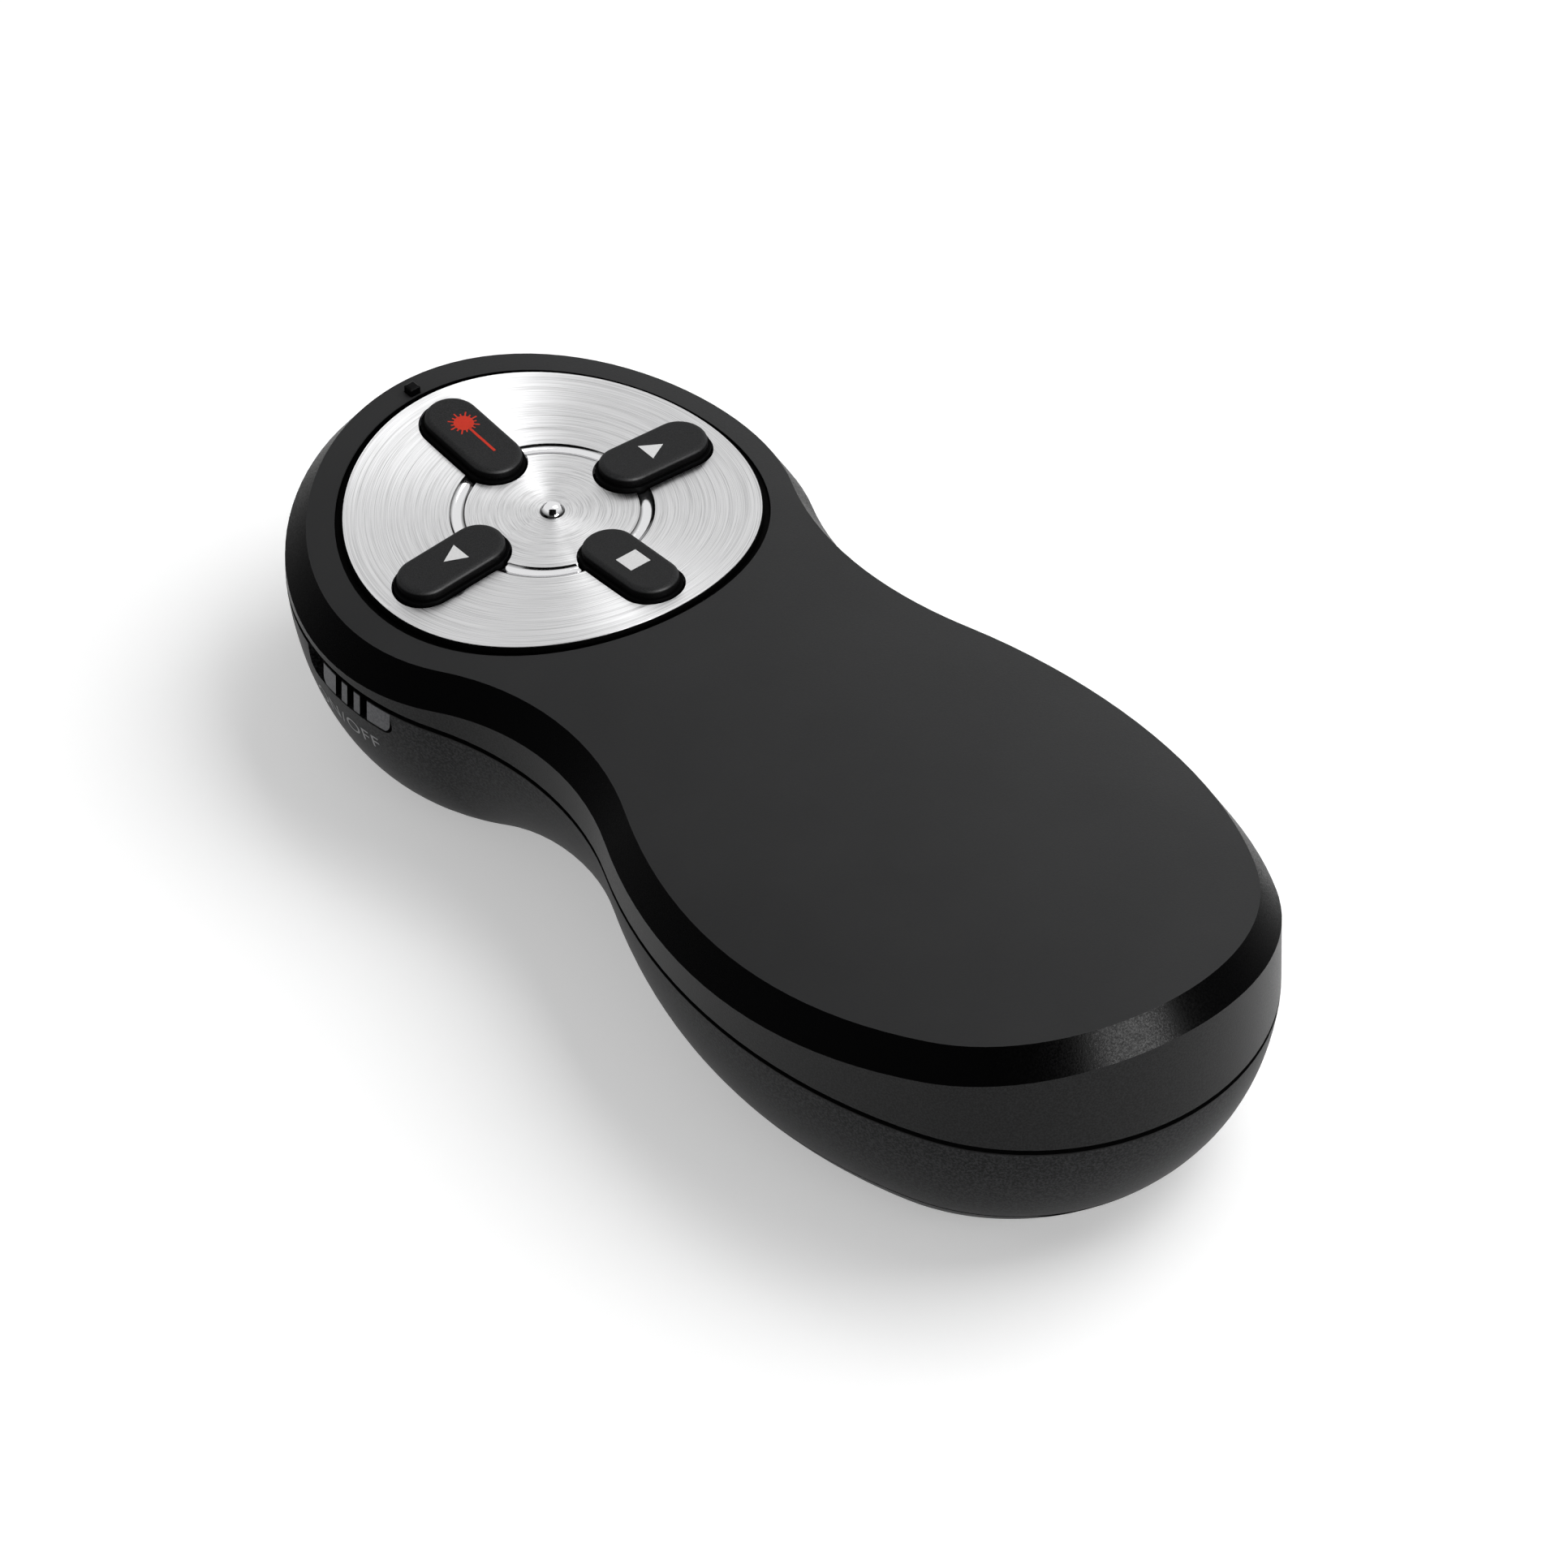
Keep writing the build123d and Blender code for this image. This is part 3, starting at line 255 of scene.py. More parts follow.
def spun_metal():
    """Plate turned on a lathe: fine rings round the stud, which stretch each highlight into a wedge."""
    g = Graph("spun_metal", (0.72, 0.72, 0.73), 0.3, metallic=1.0)
    x, y = g.from_stud()
    radius = g.distance(x, y)
    turn = g.math("ARCTAN2", y, x)
    rings = []
    # rings per mm outwards, and breaks per radian along them: coarse ones, then fine ones
    for frequency, stroke in ((12.0, 0.8), (28.0, 1.6)):
        polar = g.add("ShaderNodeCombineXYZ")
        g.join(g.math("MULTIPLY", radius, frequency), polar.inputs["X"])
        g.join(g.math("MULTIPLY", turn, stroke), polar.inputs["Y"])
        rings.append(g.noise_at(polar.outputs[0], 1.0, 4.0, 0.7))
    both = g.math("ADD", g.math("MULTIPLY", rings[0], 0.55), g.math("MULTIPLY", rings[1], 0.45))
    g.color(g.shades(both, 0.40, 0.54, (0.42, 0.42, 0.425), (0.70, 0.70, 0.705)))
    g.roughness(g.remap(both, 0.38, 0.60, 0.27, 0.37))
    g.bump(both, 0.004, strength=0.5)
    tangent = g.add("ShaderNodeTangent", direction_type="RADIAL", axis="Z")
    g.join(tangent.outputs["Tangent"], g.shader.inputs["Tangent"])
    g.shader.inputs["Anisotropic"].default_value = 0.85
    g.shader.inputs["Anisotropic Rotation"].default_value = 0.25
    return g.mat


def polished(name, color, roughness):
    """Polished or plated metal with faint wiping marks."""
    g = Graph(name, color, roughness, metallic=1.0)
    marks = g.noise(0.5, detail=3.0, stretch=(1.0, 6.0, 1.0))
    g.roughness(g.remap(marks, 0.3, 0.7, roughness * 0.7, roughness * 1.3))
    g.bump(marks, 0.001)
    return g.mat


def key_rubber():
    """Matte rubber with a soft nap; the keys' upright sides and their collars are painted black as painted
    shade.
    """
    g = Graph("key_rubber", (0.011, 0.0112, 0.012), 0.55, specular=0.12)
    nap = g.noise(0.09)
    x, ahead = g.from_stud()
    up = g.math("SUBTRACT", g.in_mm(g.split(g.coords)["Z"]), CROWN_Z)
    height = g.math("SUBTRACT", g.math("MULTIPLY", up, TOP_UP.z), g.math("MULTIPLY", ahead, -TOP_UP.y))
    crown = g.math("DIVIDE", g.math("MULTIPLY", x, x), 2 * PLATE_CROWN_RADIUS)
    dish = g.math("DIVIDE", g.math("MULTIPLY", ahead, ahead), 2 * PLATE_DISH_RADIUS)
    above_plate = g.math("ADD", g.math("ADD", height, PLATE_SINK), g.math("SUBTRACT", crown, dish))
    top = g.math("MULTIPLY", g.ramp(g.facing()["Z"], 0.30, 0.62), g.ramp(above_plate, 0.5, 0.8))
    soft = g.shades(nap, 0.4, 0.6, (0.007, 0.0072, 0.0076), (0.016, 0.0162, 0.017))
    # painted shade: all but the keys' tops, the sides and collars, get a near-black colour
    g.color(g.mix_color(top, SOFT_SHADE_BLACK, soft))
    g.specular(g.remap(top, 0.0, 1.0, 0.015, 0.12))
    g.roughness(g.remap(nap, 0.3, 0.7, 0.48, 0.60))
    g.bump(nap, 0.006)
    return g.mat


def knob_moulding():
    """Power knob: grey finger pads that face outwards, painted shade black in the notches and round the edge.
    """
    g = Graph("knob_plastic", (0.12, 0.122, 0.13), 0.45, specular=0.2)
    grain = g.noise(0.2, detail=3.0)
    outward = g.ramp(g.facing()["X"], -0.60, -0.85)
    height = g.in_mm(g.split(g.coords)["Z"])
    off_middle = g.math("ABSOLUTE", g.math("SUBTRACT", height, KNOB_MID_Z))
    inside = g.ramp(off_middle, KNOB_PAD_HALF, KNOB_PAD_HALF - KNOB_PAD_BLEND)
    pad = g.math("MULTIPLY", outward, inside)
    grey = g.shades(grain, 0.3, 0.7, (0.075, 0.076, 0.08), (0.135, 0.137, 0.145))
    # painted shade: off the pads, in the notches and round the edge, the knob is near black
    g.color(g.mix_color(pad, SOFT_SHADE_BLACK, grey))
    g.specular(g.remap(pad, 0.0, 1.0, 0.01, 0.2))
    g.roughness(g.remap(grain, 0.3, 0.7, 0.40, 0.50))
    g.bump(grain, 0.008)
    return g.mat


def groove_metal():
    """Polished bottom of the ring groove, with painted shade as a dark line along each edge."""
    g = Graph("groove_metal", (0.72, 0.72, 0.73), 0.12, metallic=1.0)
    across = g.math("ABSOLUTE", g.math("SUBTRACT", g.distance(*g.from_stud()), RING_RADIUS))
    bright, dark = (0.74, 0.74, 0.75), (0.03, 0.03, 0.03)
    # painted shade: darker towards each edge of the groove
    g.color(g.shades(across, RING_WIDTH * 0.27, RING_WIDTH * 0.48, bright, dark))
    marks = g.noise(0.5, detail=3.0, stretch=(1.0, 6.0, 1.0))
    g.roughness(g.remap(marks, 0.3, 0.7, 0.08, 0.15))
    g.bump(marks, 0.001)
    return g.mat


def stud_metal():
    """Polished dome with a painted reflection: bright on top, dark towards its foot, as if it mirrored the
    keys and a dark room.
    """
    g = Graph("stud_metal", (0.74, 0.74, 0.75), 0.1, metallic=1.0)
    # painted reflection: colour runs from dark at the foot to bright on top
    g.color(g.shades(g.facing()["Z"], 0.48, 0.76, (0.02, 0.02, 0.02), (0.76, 0.76, 0.77)))
    marks = g.noise(0.4, detail=3.0)
    g.roughness(g.remap(marks, 0.3, 0.7, 0.07, 0.13))
    g.bump(marks, 0.001)
    return g.mat


def gap_black():
    """Painted shade: the dead black of a deep gap."""
    g = Graph("gap_black", DEAD_SHADE_BLACK, 0.5, specular=0.01)
    dust = g.noise(0.3, detail=3.0)
    g.color(g.shades(dust, 0.3, 0.7, (0.0004, 0.0004, 0.0004), (0.0014, 0.0014, 0.0014)))
    g.bump(dust, 0.004)
    return g.mat


def circuit_board():
    """Green solder mask over copper tracks."""
    g = Graph("circuit_board", (0.01, 0.10, 0.035), 0.3)
    tracks = g.add("ShaderNodeTexBrick")
    tracks.inputs["Scale"].default_value = 420.0
    tracks.inputs["Mortar Size"].default_value = 0.035
    tracks.inputs["Color1"].default_value = (0.01, 0.09, 0.03, 1)
    tracks.inputs["Color2"].default_value = (0.012, 0.11, 0.04, 1)
    tracks.inputs["Mortar"].default_value = (0.03, 0.24, 0.09, 1)
    g.join(g.coords, tracks.inputs["Vector"])
    g.color(tracks.outputs["Color"])
    g.bump(tracks.outputs["Fac"], 0.03)
    return g.mat


def cell_jacket():
    """Plain shrink film with a metal shoulder at each end."""
    g = Graph("cell_jacket", (0.10, 0.10, 0.11), 0.25)
    low, high = (b.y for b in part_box("battery_left"))
    from_middle = g.math("ABSOLUTE", g.math("SUBTRACT", g.split(g.coords)["Y"], (low + high) / 2))
    ends = g.math("GREATER_THAN", from_middle, (high - low) / 2 - CELL_SHOULDER * MM)
    wrinkles = g.noise(1.2, detail=3.0, stretch=(1.0, 0.2, 1.0))
    film = g.mix_color(wrinkles, (0.07, 0.07, 0.08), (0.13, 0.13, 0.14))
    g.color(g.mix_color(ends, film, (0.55, 0.55, 0.56)))
    g.join(ends, g.shader.inputs["Metallic"])
    g.bump(wrinkles, 0.02)
    return g.mat


def clear_window(name, color, transmission, specular=0.5):
    """Tinted clear plastic with a faint moulding flow."""
    g = Graph(name, color, 0.08, specular=specular)
    g.shader.inputs["Transmission Weight"].default_value = transmission
    flow = g.noise(0.8)
    g.roughness(g.remap(flow, 0.3, 0.7, 0.05, 0.12))
    g.bump(flow, 0.003)
    return g.mat


def ink(name, color, specular):
    """Printed mark."""
    g = Graph(name, color, 0.5, specular=specular)
    mottle = g.noise(0.12, detail=3.0)
    g.color(g.shades(mottle, 0.3, 0.7, tuple(c * 0.9 for c in color), color))
    g.bump(mottle, 0.003)
    return g.mat


MATERIALS = {
    "top_plastic": top_shell(),
    "base_plastic": base_shell(),
    "plate_metal": spun_metal(),
    "bright_metal": polished("bright_metal", (0.72, 0.72, 0.73), 0.12),
    "key_rubber": key_rubber(),
    "knob_plastic": knob_moulding(),
    "window_plastic": clear_window("window_plastic", (0.020, 0.002, 0.003), 0.0, specular=0.15),
    "inner_plastic": moulded("inner_plastic", (0.018, 0.018, 0.019), 0.45, 0.2, 0.008),
    "clear_plastic": moulded("clear_plastic", (0.002, 0.002, 0.0022), 0.3, 0.3, 0.003, specular=0.04),
    "lens_glass": clear_window("lens_glass", (0.9, 0.92, 0.95), 0.9),
    "board": circuit_board(),
    "brass": polished("brass", (0.72, 0.50, 0.20), 0.22),
    "screw_steel": polished("screw_steel", (0.5, 0.5, 0.51), 0.25),
    "cell_jacket": cell_jacket(),
}
WHITE_INK = ink("white_ink", (0.80, 0.80, 0.80), 0.2)
RED_INK = ink("red_ink", (0.62, 0.040, 0.020), 0.1)
GREY_INK = ink("grey_ink", (0.30, 0.30, 0.305), 0.2)
GROOVE = groove_metal()
STUD = stud_metal()
BLACK_GAP = gap_black()

for part in frame["record"]["subparts"]:
    mesh = frame["nodes"][part["node"]].data
    mesh.materials.clear()
    mesh.materials.append(MATERIALS[part["material_slot"]])
frame["nodes"]["centre_stud"].data.materials[0] = STUD


# ---------------------------------------------------------------- pieces laid on the solids
INK_LIFT = 0.012 * MM       # half the thickness of a mark
ABOVE_KEYS = 8.0            # mm in the top frame, clear of every key


def surface(node):
    """Ray casting tree of one CAD node."""
    mesh = frame["nodes"][node].data
    return BVHTree.FromPolygons([v.co for v in mesh.vertices], [p.vertices for p in mesh.polygons])


def drop_to(tree, point, direction):
    """Where a ray from `point` meets the surface."""
    hit = tree.ray_cast(point, direction)[0]
    if hit is None:
        raise ValueError(f"no surface under {point}")
    return hit


def drop_on_top(tree, x, y):
    """Where the surface lies under the point x, y of the top frame, mm."""
    return drop_to(tree, top_point(x, y, ABOVE_KEYS), -TOP_UP)


def make_piece(name, verts, faces, material, body):
    mesh = bpy.data.meshes.new(name)
    mesh.from_pydata([tuple(v) for v in verts], [], faces)
    mesh.update()
    mesh.materials.append(material)
    obj = bpy.data.objects.new(name, mesh)
    bpy.context.scene.collection.objects.link(obj)
    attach(obj, body)
    return obj


def mark_on_top(name, outline, node, body, material):
    """Flat printed mark: its outline is in mm in the top frame, and it lies on a key's top."""
    tree = surface(node)
    hits = [drop_on_top(tree, x, y) for x, y in outline]
    lower = [hit - TOP_UP * INK_LIFT for hit in hits]
    upper = [hit + TOP_UP * INK_LIFT for hit in hits]
    count = len(outline)
    faces = [tuple(range(count, 2 * count)), tuple(reversed(range(count)))]
    faces += [(i, (i + 1) % count, count + (i + 1) % count, count + i) for i in range(count)]
    return make_piece(name, lower + upper, faces, material, body)


# ---------------------------------------------------------------- marks on the keys, mm in the top frame
TRIANGLE_BASE, TRIANGLE_APEX, TRIANGLE_HALF = 9.2, 10.95, 0.97
SQUARE_Y, SQUARE_SIZE = -10.3, 1.94
BURST_Y, BURST_DISC, LONG_RAY, SHORT_RAY, RAY_HALF = 11.3, 0.8, 1.27, 1.05, 0.06
RAYS = 16
BEAM_REAR, BEAM_FRONT, BEAM_HALF = 7.35, 10.6, 0.11
# small moves that bring the marks to their places in the photo
TRIANGLE_SHIFT, SQUARE_SHIFT, LASER_SHIFT = (0.16, 0), (0.06, 0), (0.15, 0.08)


def triangle(out):
    """Triangle on a key at the plate's side, pointing away from the stud; out is +1 or -1."""
    half = TRIANGLE_HALF * out
    return [(out * TRIANGLE_BASE, -half), (out * TRIANGLE_APEX, 0), (out * TRIANGLE_BASE, half)]


def square():
    half = SQUARE_SIZE / 2
    return [(x * half, SQUARE_Y + y * half) for x, y in ((-1, -1), (1, -1), (1, 1), (-1, 1))]


def sunburst():
    """Disc with thin rays, long and short in turn; a beam takes the place of the ray at the back."""
    points = []
    step = 2 * pi / RAYS
    for i in range(RAYS):
        a = step * i - 3 * step
        out = LONG_RAY if i % 2 else SHORT_RAY
        ray = [(BURST_DISC, -RAY_HALF), (out, -RAY_HALF), (out, RAY_HALF), (BURST_DISC, RAY_HALF)]
        # the last one would point to the back
        if i < RAYS - 1:
            points += [(r * cos(a) - side * sin(a), BURST_Y + r * sin(a) + side * cos(a)) for r, side in ray]
        middle = a + step / 2
        points.append((BURST_DISC * cos(middle), BURST_Y + BURST_DISC * sin(middle)))
    return points


def beam():
    return [(-BEAM_HALF, BEAM_REAR), (BEAM_HALF, BEAM_REAR),
            (BEAM_HALF, BEAM_FRONT), (-BEAM_HALF, BEAM_FRONT)]


def shifted(points, shift):
    return [(x + shift[0], y + shift[1]) for x, y in points]


for key, out in (("next", 1), ("previous", -1)):
    outline = shifted(triangle(out), TRIANGLE_SHIFT)
    mark_on_top(key + "_mark", outline, key + "_button", key + "_key", WHITE_INK)
mark_on_top("stop_mark", shifted(square(), SQUARE_SHIFT), "stop_button", "stop_key", WHITE_INK)
mark_on_top("laser_burst_mark", shifted(sunburst(), LASER_SHIFT), "laser_button", "laser_key", RED_INK)
mark_on_top("laser_beam_mark", shifted(beam(), LASER_SHIFT), "laser_button", "laser_key", RED_INK)


# ---------------------------------------------------------------- liner of the plate's ring groove, mm
LINER_TO_KEY = 0.17         # from a key's side to the liner's end
LINER_LIFT = 0.02           # of its edges above the plate
LINER_SPREAD = 1.04         # its width as a share of the groove's
LINER_DIP = 0.9             # its depth as a share of the groove's


def plate_height(x, y):
    """Height of the plate's face in the top frame, mm."""
    crown = PLATE_CROWN_RADIUS - sqrt(PLATE_CROWN_RADIUS**2 - x * x)
    dish = PLATE_DISH_RADIUS - sqrt(PLATE_DISH_RADIUS**2 - y * y)
    return dish - crown - PLATE_SINK


def ring_arc(number):
    """Hollow polished strip in the groove, between two neighbouring keys."""
    key_half = KEY_WIDTH / 2 + LINER_TO_KEY
    steps, across = 48, 10
    verts = []
    for j in range(across + 1):
        # -1 and 1 at the strip's edges
        side = -1 + 2 * j / across
        r = RING_RADIUS + side * RING_WIDTH / 2 * LINER_SPREAD
        start = asin(key_half / r)
        for i in range(steps + 1):
            a = number * pi / 2 + start + (pi / 2 - 2 * start) * i / steps
            x, y = r * cos(a), r * sin(a)
            dip = RING_DEPTH * LINER_DIP * (1 - side * side)
            verts.append(top_point(x, y, plate_height(x, y) + LINER_LIFT - dip))
    row = steps + 1
    faces = [(j * row + i, j * row + i + 1, (j + 1) * row + i + 1, (j + 1) * row + i)
             for j in range(across) for i in range(steps)]
    obj = make_piece(f"ring_liner_{number + 1}", verts, faces, GROOVE, "housing")
    for p in obj.data.polygons:
        p.use_smooth = True


for quarter in range(4):
    ring_arc(quarter)


# ---------------------------------------------------------------- painted shade: black pieces in the gaps, mm
GAP_SHADE_FIT = 0.02           # to the plate and to the shell
GAP_SHADE_WALL = 0.06
GAP_SHADE_BELOW = 0.04         # its top edges below the plate's lip and the shell's rim
GAP_SHADE_FLOOR = 0.10         # its inside above the gap's foot
GAP_SHADE_LIFT = 0.03          # its underside above the gap's foot
GAP_MIDDLE = PLATE_RADIUS + 0.3         # radius where the gap's foot is measured
LIP_PROBE = 0.03            # outside the shaded piece, where the shell's rim is measured
RIM_PROBE = 0.05            # outside the gasket, where the shell's rim is measured
GAP_SHADE_STEPS = 240


def gap_shade_section(plate, shell, angle):
    """Section of the shaded piece's trough at one angle, from the plate's side to the shell's."""
    def level(tree, r):
        return (TOP.inverted() @ drop_on_top(tree, r * cos(angle), r * sin(angle))).z / MM

    inner, outer = PLATE_RADIUS + GAP_SHADE_FIT, PLATE_RADIUS + PLATE_GAP - GAP_SHADE_FIT
    lip = level(plate, PLATE_RADIUS - LIP_PROBE)
    rim = level(shell, outer + RIM_PROBE)
    foot = level(shell, GAP_MIDDLE)
    section = [(inner, lip - GAP_SHADE_BELOW), (inner + GAP_SHADE_WALL, lip - GAP_SHADE_BELOW - GAP_SHADE_WALL),
               (inner + GAP_SHADE_FLOOR, foot + GAP_SHADE_FLOOR), (outer - GAP_SHADE_WALL, foot + GAP_SHADE_FLOOR),
               (outer - GAP_SHADE_WALL / 2, rim - GAP_SHADE_WALL), (outer, rim - GAP_SHADE_BELOW),
               (outer, foot + GAP_SHADE_LIFT), (inner, foot + GAP_SHADE_LIFT)]
    return [top_point(r * cos(angle), r * sin(angle), z) for r, z in section]


def plate_gap_shade():
    """Painted shade: thin black piece that fills the foot of the gap between the plate's edge and the shell.
    """
    plate, shell = surface("keypad_plate"), surface("upper_housing")
    sections = [gap_shade_section(plate, shell, 2 * pi * i / GAP_SHADE_STEPS) for i in range(GAP_SHADE_STEPS)]
    count = len(sections[0])
    faces = []
    for i in range(GAP_SHADE_STEPS):
        here, there = i * count, (i + 1) % GAP_SHADE_STEPS * count
        for j in range(count):
            k = (j + 1) % count
            faces.append((here + j, there + j, there + k, here + k))
    verts = [p for section in sections for p in section]
    # painted shade: a black piece put where the gap has only shade
    make_piece("plate_gap_shade", verts, faces, BLACK_GAP, "housing")


DOOR_SHADE_HALF_WIDTH = 9
DOOR_SHADE_TOP = 3.2
DOOR_SHADE_INSET = 0.04           # its lower edge above the shell's skin
DOOR_SHADE_REAR, DOOR_SHADE_FRONT = 0.005, 0.19     # ahead of the door's front
SKIN_PROBE = 0.5            # ahead of the door's front, where the shell's skin is measured
BELOW_SHELL = -10           # height that is clear of the shell


def door_gap_shade():
    """Painted shade: thin black piece on the housing that closes the straight gap ahead of the battery door.
    """
    shell = surface("lower_housing")
    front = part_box("battery_door")[1].y
    outline = []
    for x in range(-DOOR_SHADE_HALF_WIDTH, DOOR_SHADE_HALF_WIDTH + 1):
        start = Vector((x * MM, front + SKIN_PROBE * MM, BELOW_SHELL * MM))
        skin = drop_to(shell, start, Vector((0, 0, 1)))
        outline.append((x * MM, skin.z + DOOR_SHADE_INSET * MM))
    outline += [(DOOR_SHADE_HALF_WIDTH * MM, DOOR_SHADE_TOP * MM), (-DOOR_SHADE_HALF_WIDTH * MM, DOOR_SHADE_TOP * MM)]
    count = len(outline)
    verts = [(x, front + y * MM, z) for y in (DOOR_SHADE_REAR, DOOR_SHADE_FRONT) for x, z in outline]
    faces = [tuple(range(count)), tuple(range(2 * count - 1, count - 1, -1))]
    faces += [(i, count + i, count + (i + 1) % count, (i + 1) % count) for i in range(count)]
    # painted shade: a black piece put where the gap has only shade
    make_piece("door_gap_shade", verts, faces, BLACK_GAP, "housing")


plate_gap_shade()
door_gap_shade()


# ---------------------------------------------------------------- ON/OFF lettering below the power switch, mm
LETTER_SIZE = 2.2
LETTER_FOOT_Z = 8.7
LETTER_MIDDLE = radians(177.2)      # direction of its middle from the head's axis
LETTER_RADIUS = 20.3        # of the shell where the lettering lies
LETTER_EDGE = 0.35          # longest edge that isn't divided
LETTER_ROUNDS = 3           # of dividing
OUTSIDE = 30.0              # from the head's axis, clear of the shell


def flat_lettering():
    """Mesh of the lettering, with short edges so that its strokes can follow the curved shell."""
    curve = bpy.data.curves.new("switch_lettering", "FONT")
    curve.body = "ON/OFF"
    curve.size = LETTER_SIZE * MM
    curve.space_character = 1.08
    curve.align_x = "CENTER"
    text = bpy.data.objects.new("switch_lettering_curve", curve)
    bpy.context.scene.collection.objects.link(text)
    bpy.context.view_layer.update()
    flat = bpy.data.meshes.new_from_object(text.evaluated_get(bpy.context.evaluated_depsgraph_get()))
    bpy.data.objects.remove(text)
    fine = bmesh.new()
    fine.from_mesh(flat)
    bmesh.ops.triangulate(fine, faces=fine.faces[:])
    for _ in range(LETTER_ROUNDS):
        long_edges = [e for e in fine.edges if e.calc_length() > LETTER_EDGE * MM]
        bmesh.ops.subdivide_edges(fine, edges=long_edges, cuts=1, use_grid_fill=True)
        bmesh.ops.triangulate(fine, faces=fine.faces[:])
    fine.to_mesh(flat)
    fine.free()
    return flat


def switch_lettering():
    """Faint lettering that follows the head's curve under the switch's slot."""
    flat = flat_lettering()
    tree = surface("lower_housing")
    axis = Vector((0, HEAD_Y * MM, 0))
    verts = []
    for v in flat.vertices:
        angle = LETTER_MIDDLE + v.co.x / (LETTER_RADIUS * MM)
        away = Vector((cos(angle), sin(angle), 0))
        start = axis + away * OUTSIDE * MM + Vector((0, 0, LETTER_FOOT_Z * MM + v.co.y))
        verts.append(drop_to(tree, start, -away) + away * 2 * INK_LIFT)
    faces = [tuple(p.vertices) for p in flat.polygons]
    make_piece("switch_lettering", verts, faces, GREY_INK, "housing")


switch_lettering()


# ---------------------------------------------------------------- floor and card, metres
MIDDLE = (0.0, 0.0, 0.012)  # of the part: lamps and card face it
FLOOR_HALF = 6.0
FLOOR_GAP = 0.02 * MM       # below the part, so that no two faces lie in one plane
FLOOR_GREY = 0.86
FLOOR_GLOW = 0.38
FELT_GREY = 0.004


def seen_directly(tree):
    """1 for rays that show a surface straight, mirrored or through glass, 0 for those that only light."""
    path = tree.nodes.new("ShaderNodeLightPath")
    shown = path.outputs["Is Camera Ray"]
    for ray in ("Is Glossy Ray", "Is Transmission Ray"):
        either = tree.nodes.new("ShaderNodeMath")
        either.operation = "MAXIMUM"
        tree.links.new(shown, either.inputs[0])
        tree.links.new(path.outputs[ray], either.inputs[1])
        shown = either.outputs[0]
    return shown


def dull_material(name, grey):
    mat, shader = new_material(name)
    shader.inputs["Base Color"].default_value = (grey, grey, grey, 1)
    shader.inputs["Roughness"].default_value = 0.9
    shader.inputs["Specular IOR Level"].default_value = 0.0
    return mat, shader


def stage_sheet(name, corners, mat):
    mesh = bpy.data.meshes.new(name)
    mesh.from_pydata(corners, [], [(0, 1, 2, 3)])
    mesh.materials.append(mat)
    sheet = bpy.data.objects.new(name, mesh)
    bpy.context.scene.collection.objects.link(sheet)
    return sheet


def corners_of(width, height):
    return [(x * width / 2, y * height / 2, 0) for x, y in ((-1, -1), (1, -1), (1, 1), (-1, 1))]


def stage_plane():
    """Pale paper; it is lifted to white where it is seen, and the shadow stays."""
    mat, shader = dull_material("floor_paper", FLOOR_GREY)
    tree = mat.node_tree
    glow = tree.nodes.new("ShaderNodeEmission")
    glow.inputs["Color"].default_value = (1, 1, 1, 1)
    strength = tree.nodes.new("ShaderNodeMath")
    strength.operation = "MULTIPLY"
    strength.inputs[1].default_value = FLOOR_GLOW
    tree.links.new(seen_directly(tree), strength.inputs[0])
    tree.links.new(strength.outputs[0], glow.inputs["Strength"])
    total = tree.nodes.new("ShaderNodeAddShader")
    tree.links.new(shader.outputs[0], total.inputs[0])
    tree.links.new(glow.outputs[0], total.inputs[1])
    output = next(n for n in tree.nodes if n.type == "OUTPUT_MATERIAL")
    tree.links.new(total.outputs[0], output.inputs["Surface"])
    floor = stage_sheet("floor", corners_of(2 * FLOOR_HALF, 2 * FLOOR_HALF), mat)
    floor.location.z = -FLOOR_GAP


def black_flag(place, width, height):
    """Black card that is seen only in reflections, so that glossy faces show a dark side of the room."""
    turn = (Vector(MIDDLE) - Vector(place)).to_track_quat("-Z", "Y").to_matrix()
    corners = [tuple(Vector(place) + turn @ Vector(c)) for c in corners_of(width, height)]
    flag = stage_sheet("black_flag", corners, dull_material("black_felt", FELT_GREY)[0])
    flag.visible_camera = False
    flag.visible_diffuse = False
    flag.visible_shadow = False
    flag.visible_transmission = False


stage_plane()
black_flag(place=(-0.30, -0.38, 0.64), width=1.0, height=0.9)


# ---------------------------------------------------------------- lamps and world, metres and watts
WORLD_LIGHT = 0.33          # strength of the world as it lights the part
WORLD_SEEN = 1.0            # and as it is seen


def area_light(name, place, size, power, size_y=None):
    """Rectangular lamp that points at the part's middle."""
    data = bpy.data.lights.new(name, "AREA")
    data.shape = "RECTANGLE"
    data.size = size
    data.size_y = size_y or size
    data.energy = power
    lamp = bpy.data.objects.new(name, data)
    lamp.location = place
    lamp.rotation_mode = "QUATERNION"
    lamp.rotation_quaternion = (Vector(MIDDLE) - Vector(place)).to_track_quat("-Z", "Y")
    bpy.context.scene.collection.objects.link(lamp)
    return lamp


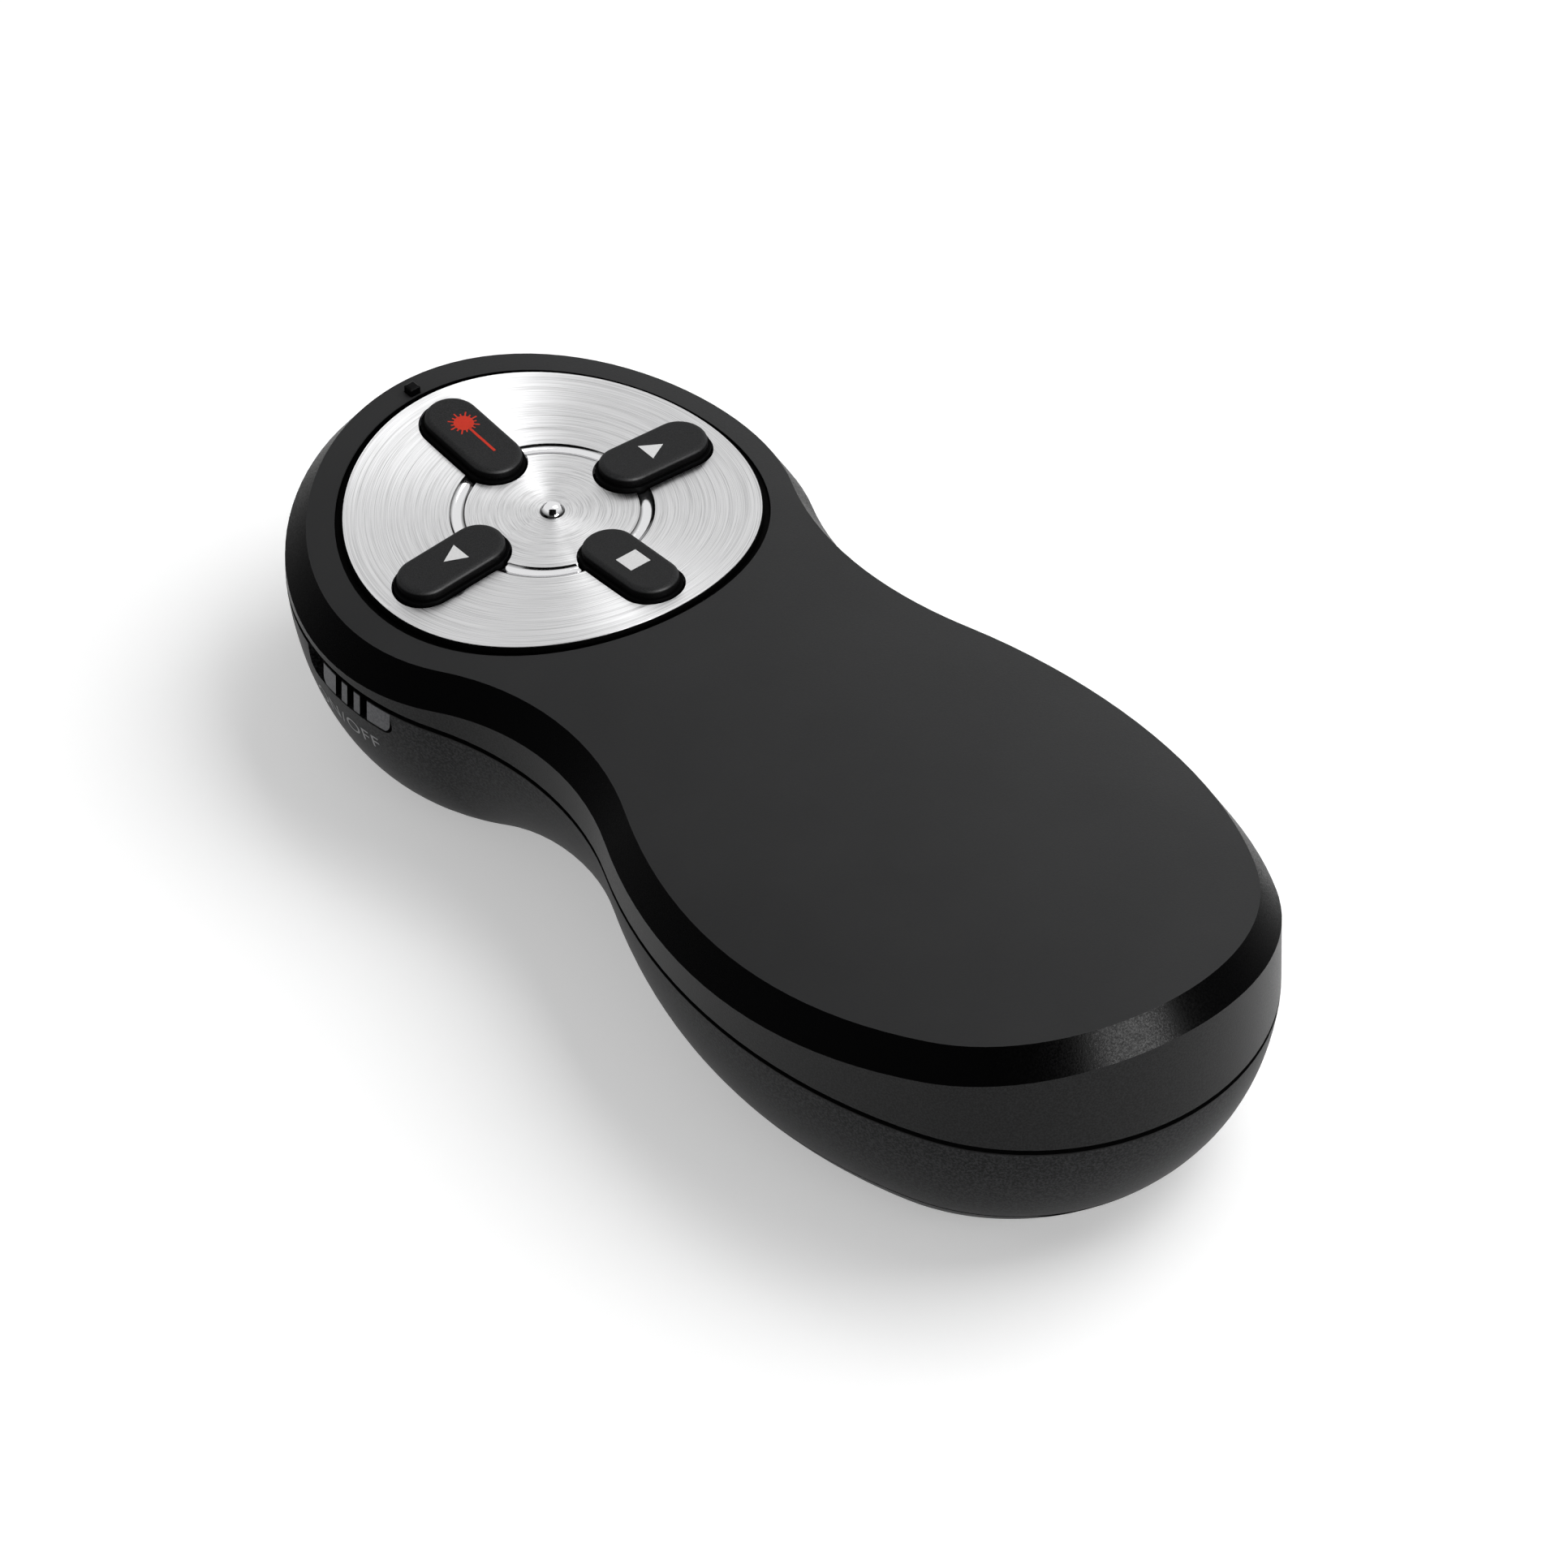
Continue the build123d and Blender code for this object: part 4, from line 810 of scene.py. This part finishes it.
# the softbox lights the matte faces and the floor, and isn't mirrored
softbox = area_light("softbox", place=(0.35, -0.14, 0.63), size=0.58, power=3.95)
softbox.visible_glossy = False
# broad strip to the right, left out of the diffuse light: it draws the two bright wedges on the plate
plate_strip = area_light("plate_strip", place=(0.26, 0.035, 0.50), size=0.20, size_y=0.36, power=0.95)
plate_strip.visible_diffuse = False
# low strip beyond the tail, left out of the diffuse light: it draws the highlight on the bevel
front_strip = area_light("front_strip", place=(0.0, -0.60, 0.25), size=0.38, size_y=0.11, power=24.0)
front_strip.visible_diffuse = False


def studio_world():
    """White world, dimmer for the rays that light the part than for those that show it."""
    world = bpy.data.worlds.new("studio")
    bpy.context.scene.world = world
    world.use_nodes = True
    tree = world.node_tree
    sky = next(n for n in tree.nodes if n.type == "BACKGROUND")
    strength = tree.nodes.new("ShaderNodeMapRange")
    strength.inputs["To Min"].default_value = WORLD_LIGHT
    strength.inputs["To Max"].default_value = WORLD_SEEN
    tree.links.new(seen_directly(tree), strength.inputs["Value"])
    tree.links.new(strength.outputs["Result"], sky.inputs["Strength"])
    sky.inputs["Color"].default_value = (1, 1, 1, 1)


studio_world()

# ---------------------------------------------------------------- camera
CAMERA_AZIMUTH = radians(-38.36)
CAMERA_ELEVATION = radians(43.24)
CAMERA_DISTANCE = 4.0
FOCAL = 1168.0
AIM = Vector((7.45 * MM, 9.45 * MM, 1.78 * MM))

scene = bpy.context.scene
scene.view_settings.view_transform = "Standard"
camera_data = bpy.data.cameras.new("camera")
camera_data.lens = FOCAL
camera_data.sensor_width = 36.0
camera_data.clip_start = 0.05
camera_data.clip_end = 20.0
camera = bpy.data.objects.new("camera", camera_data)
away = Vector((sin(CAMERA_AZIMUTH) * cos(CAMERA_ELEVATION),
               -cos(CAMERA_AZIMUTH) * cos(CAMERA_ELEVATION),
               sin(CAMERA_ELEVATION)))
camera.location = AIM + away * CAMERA_DISTANCE
camera.rotation_mode = "QUATERNION"
camera.rotation_quaternion = (-away).to_track_quat("-Z", "Y")
scene.collection.objects.link(camera)
scene.camera = camera
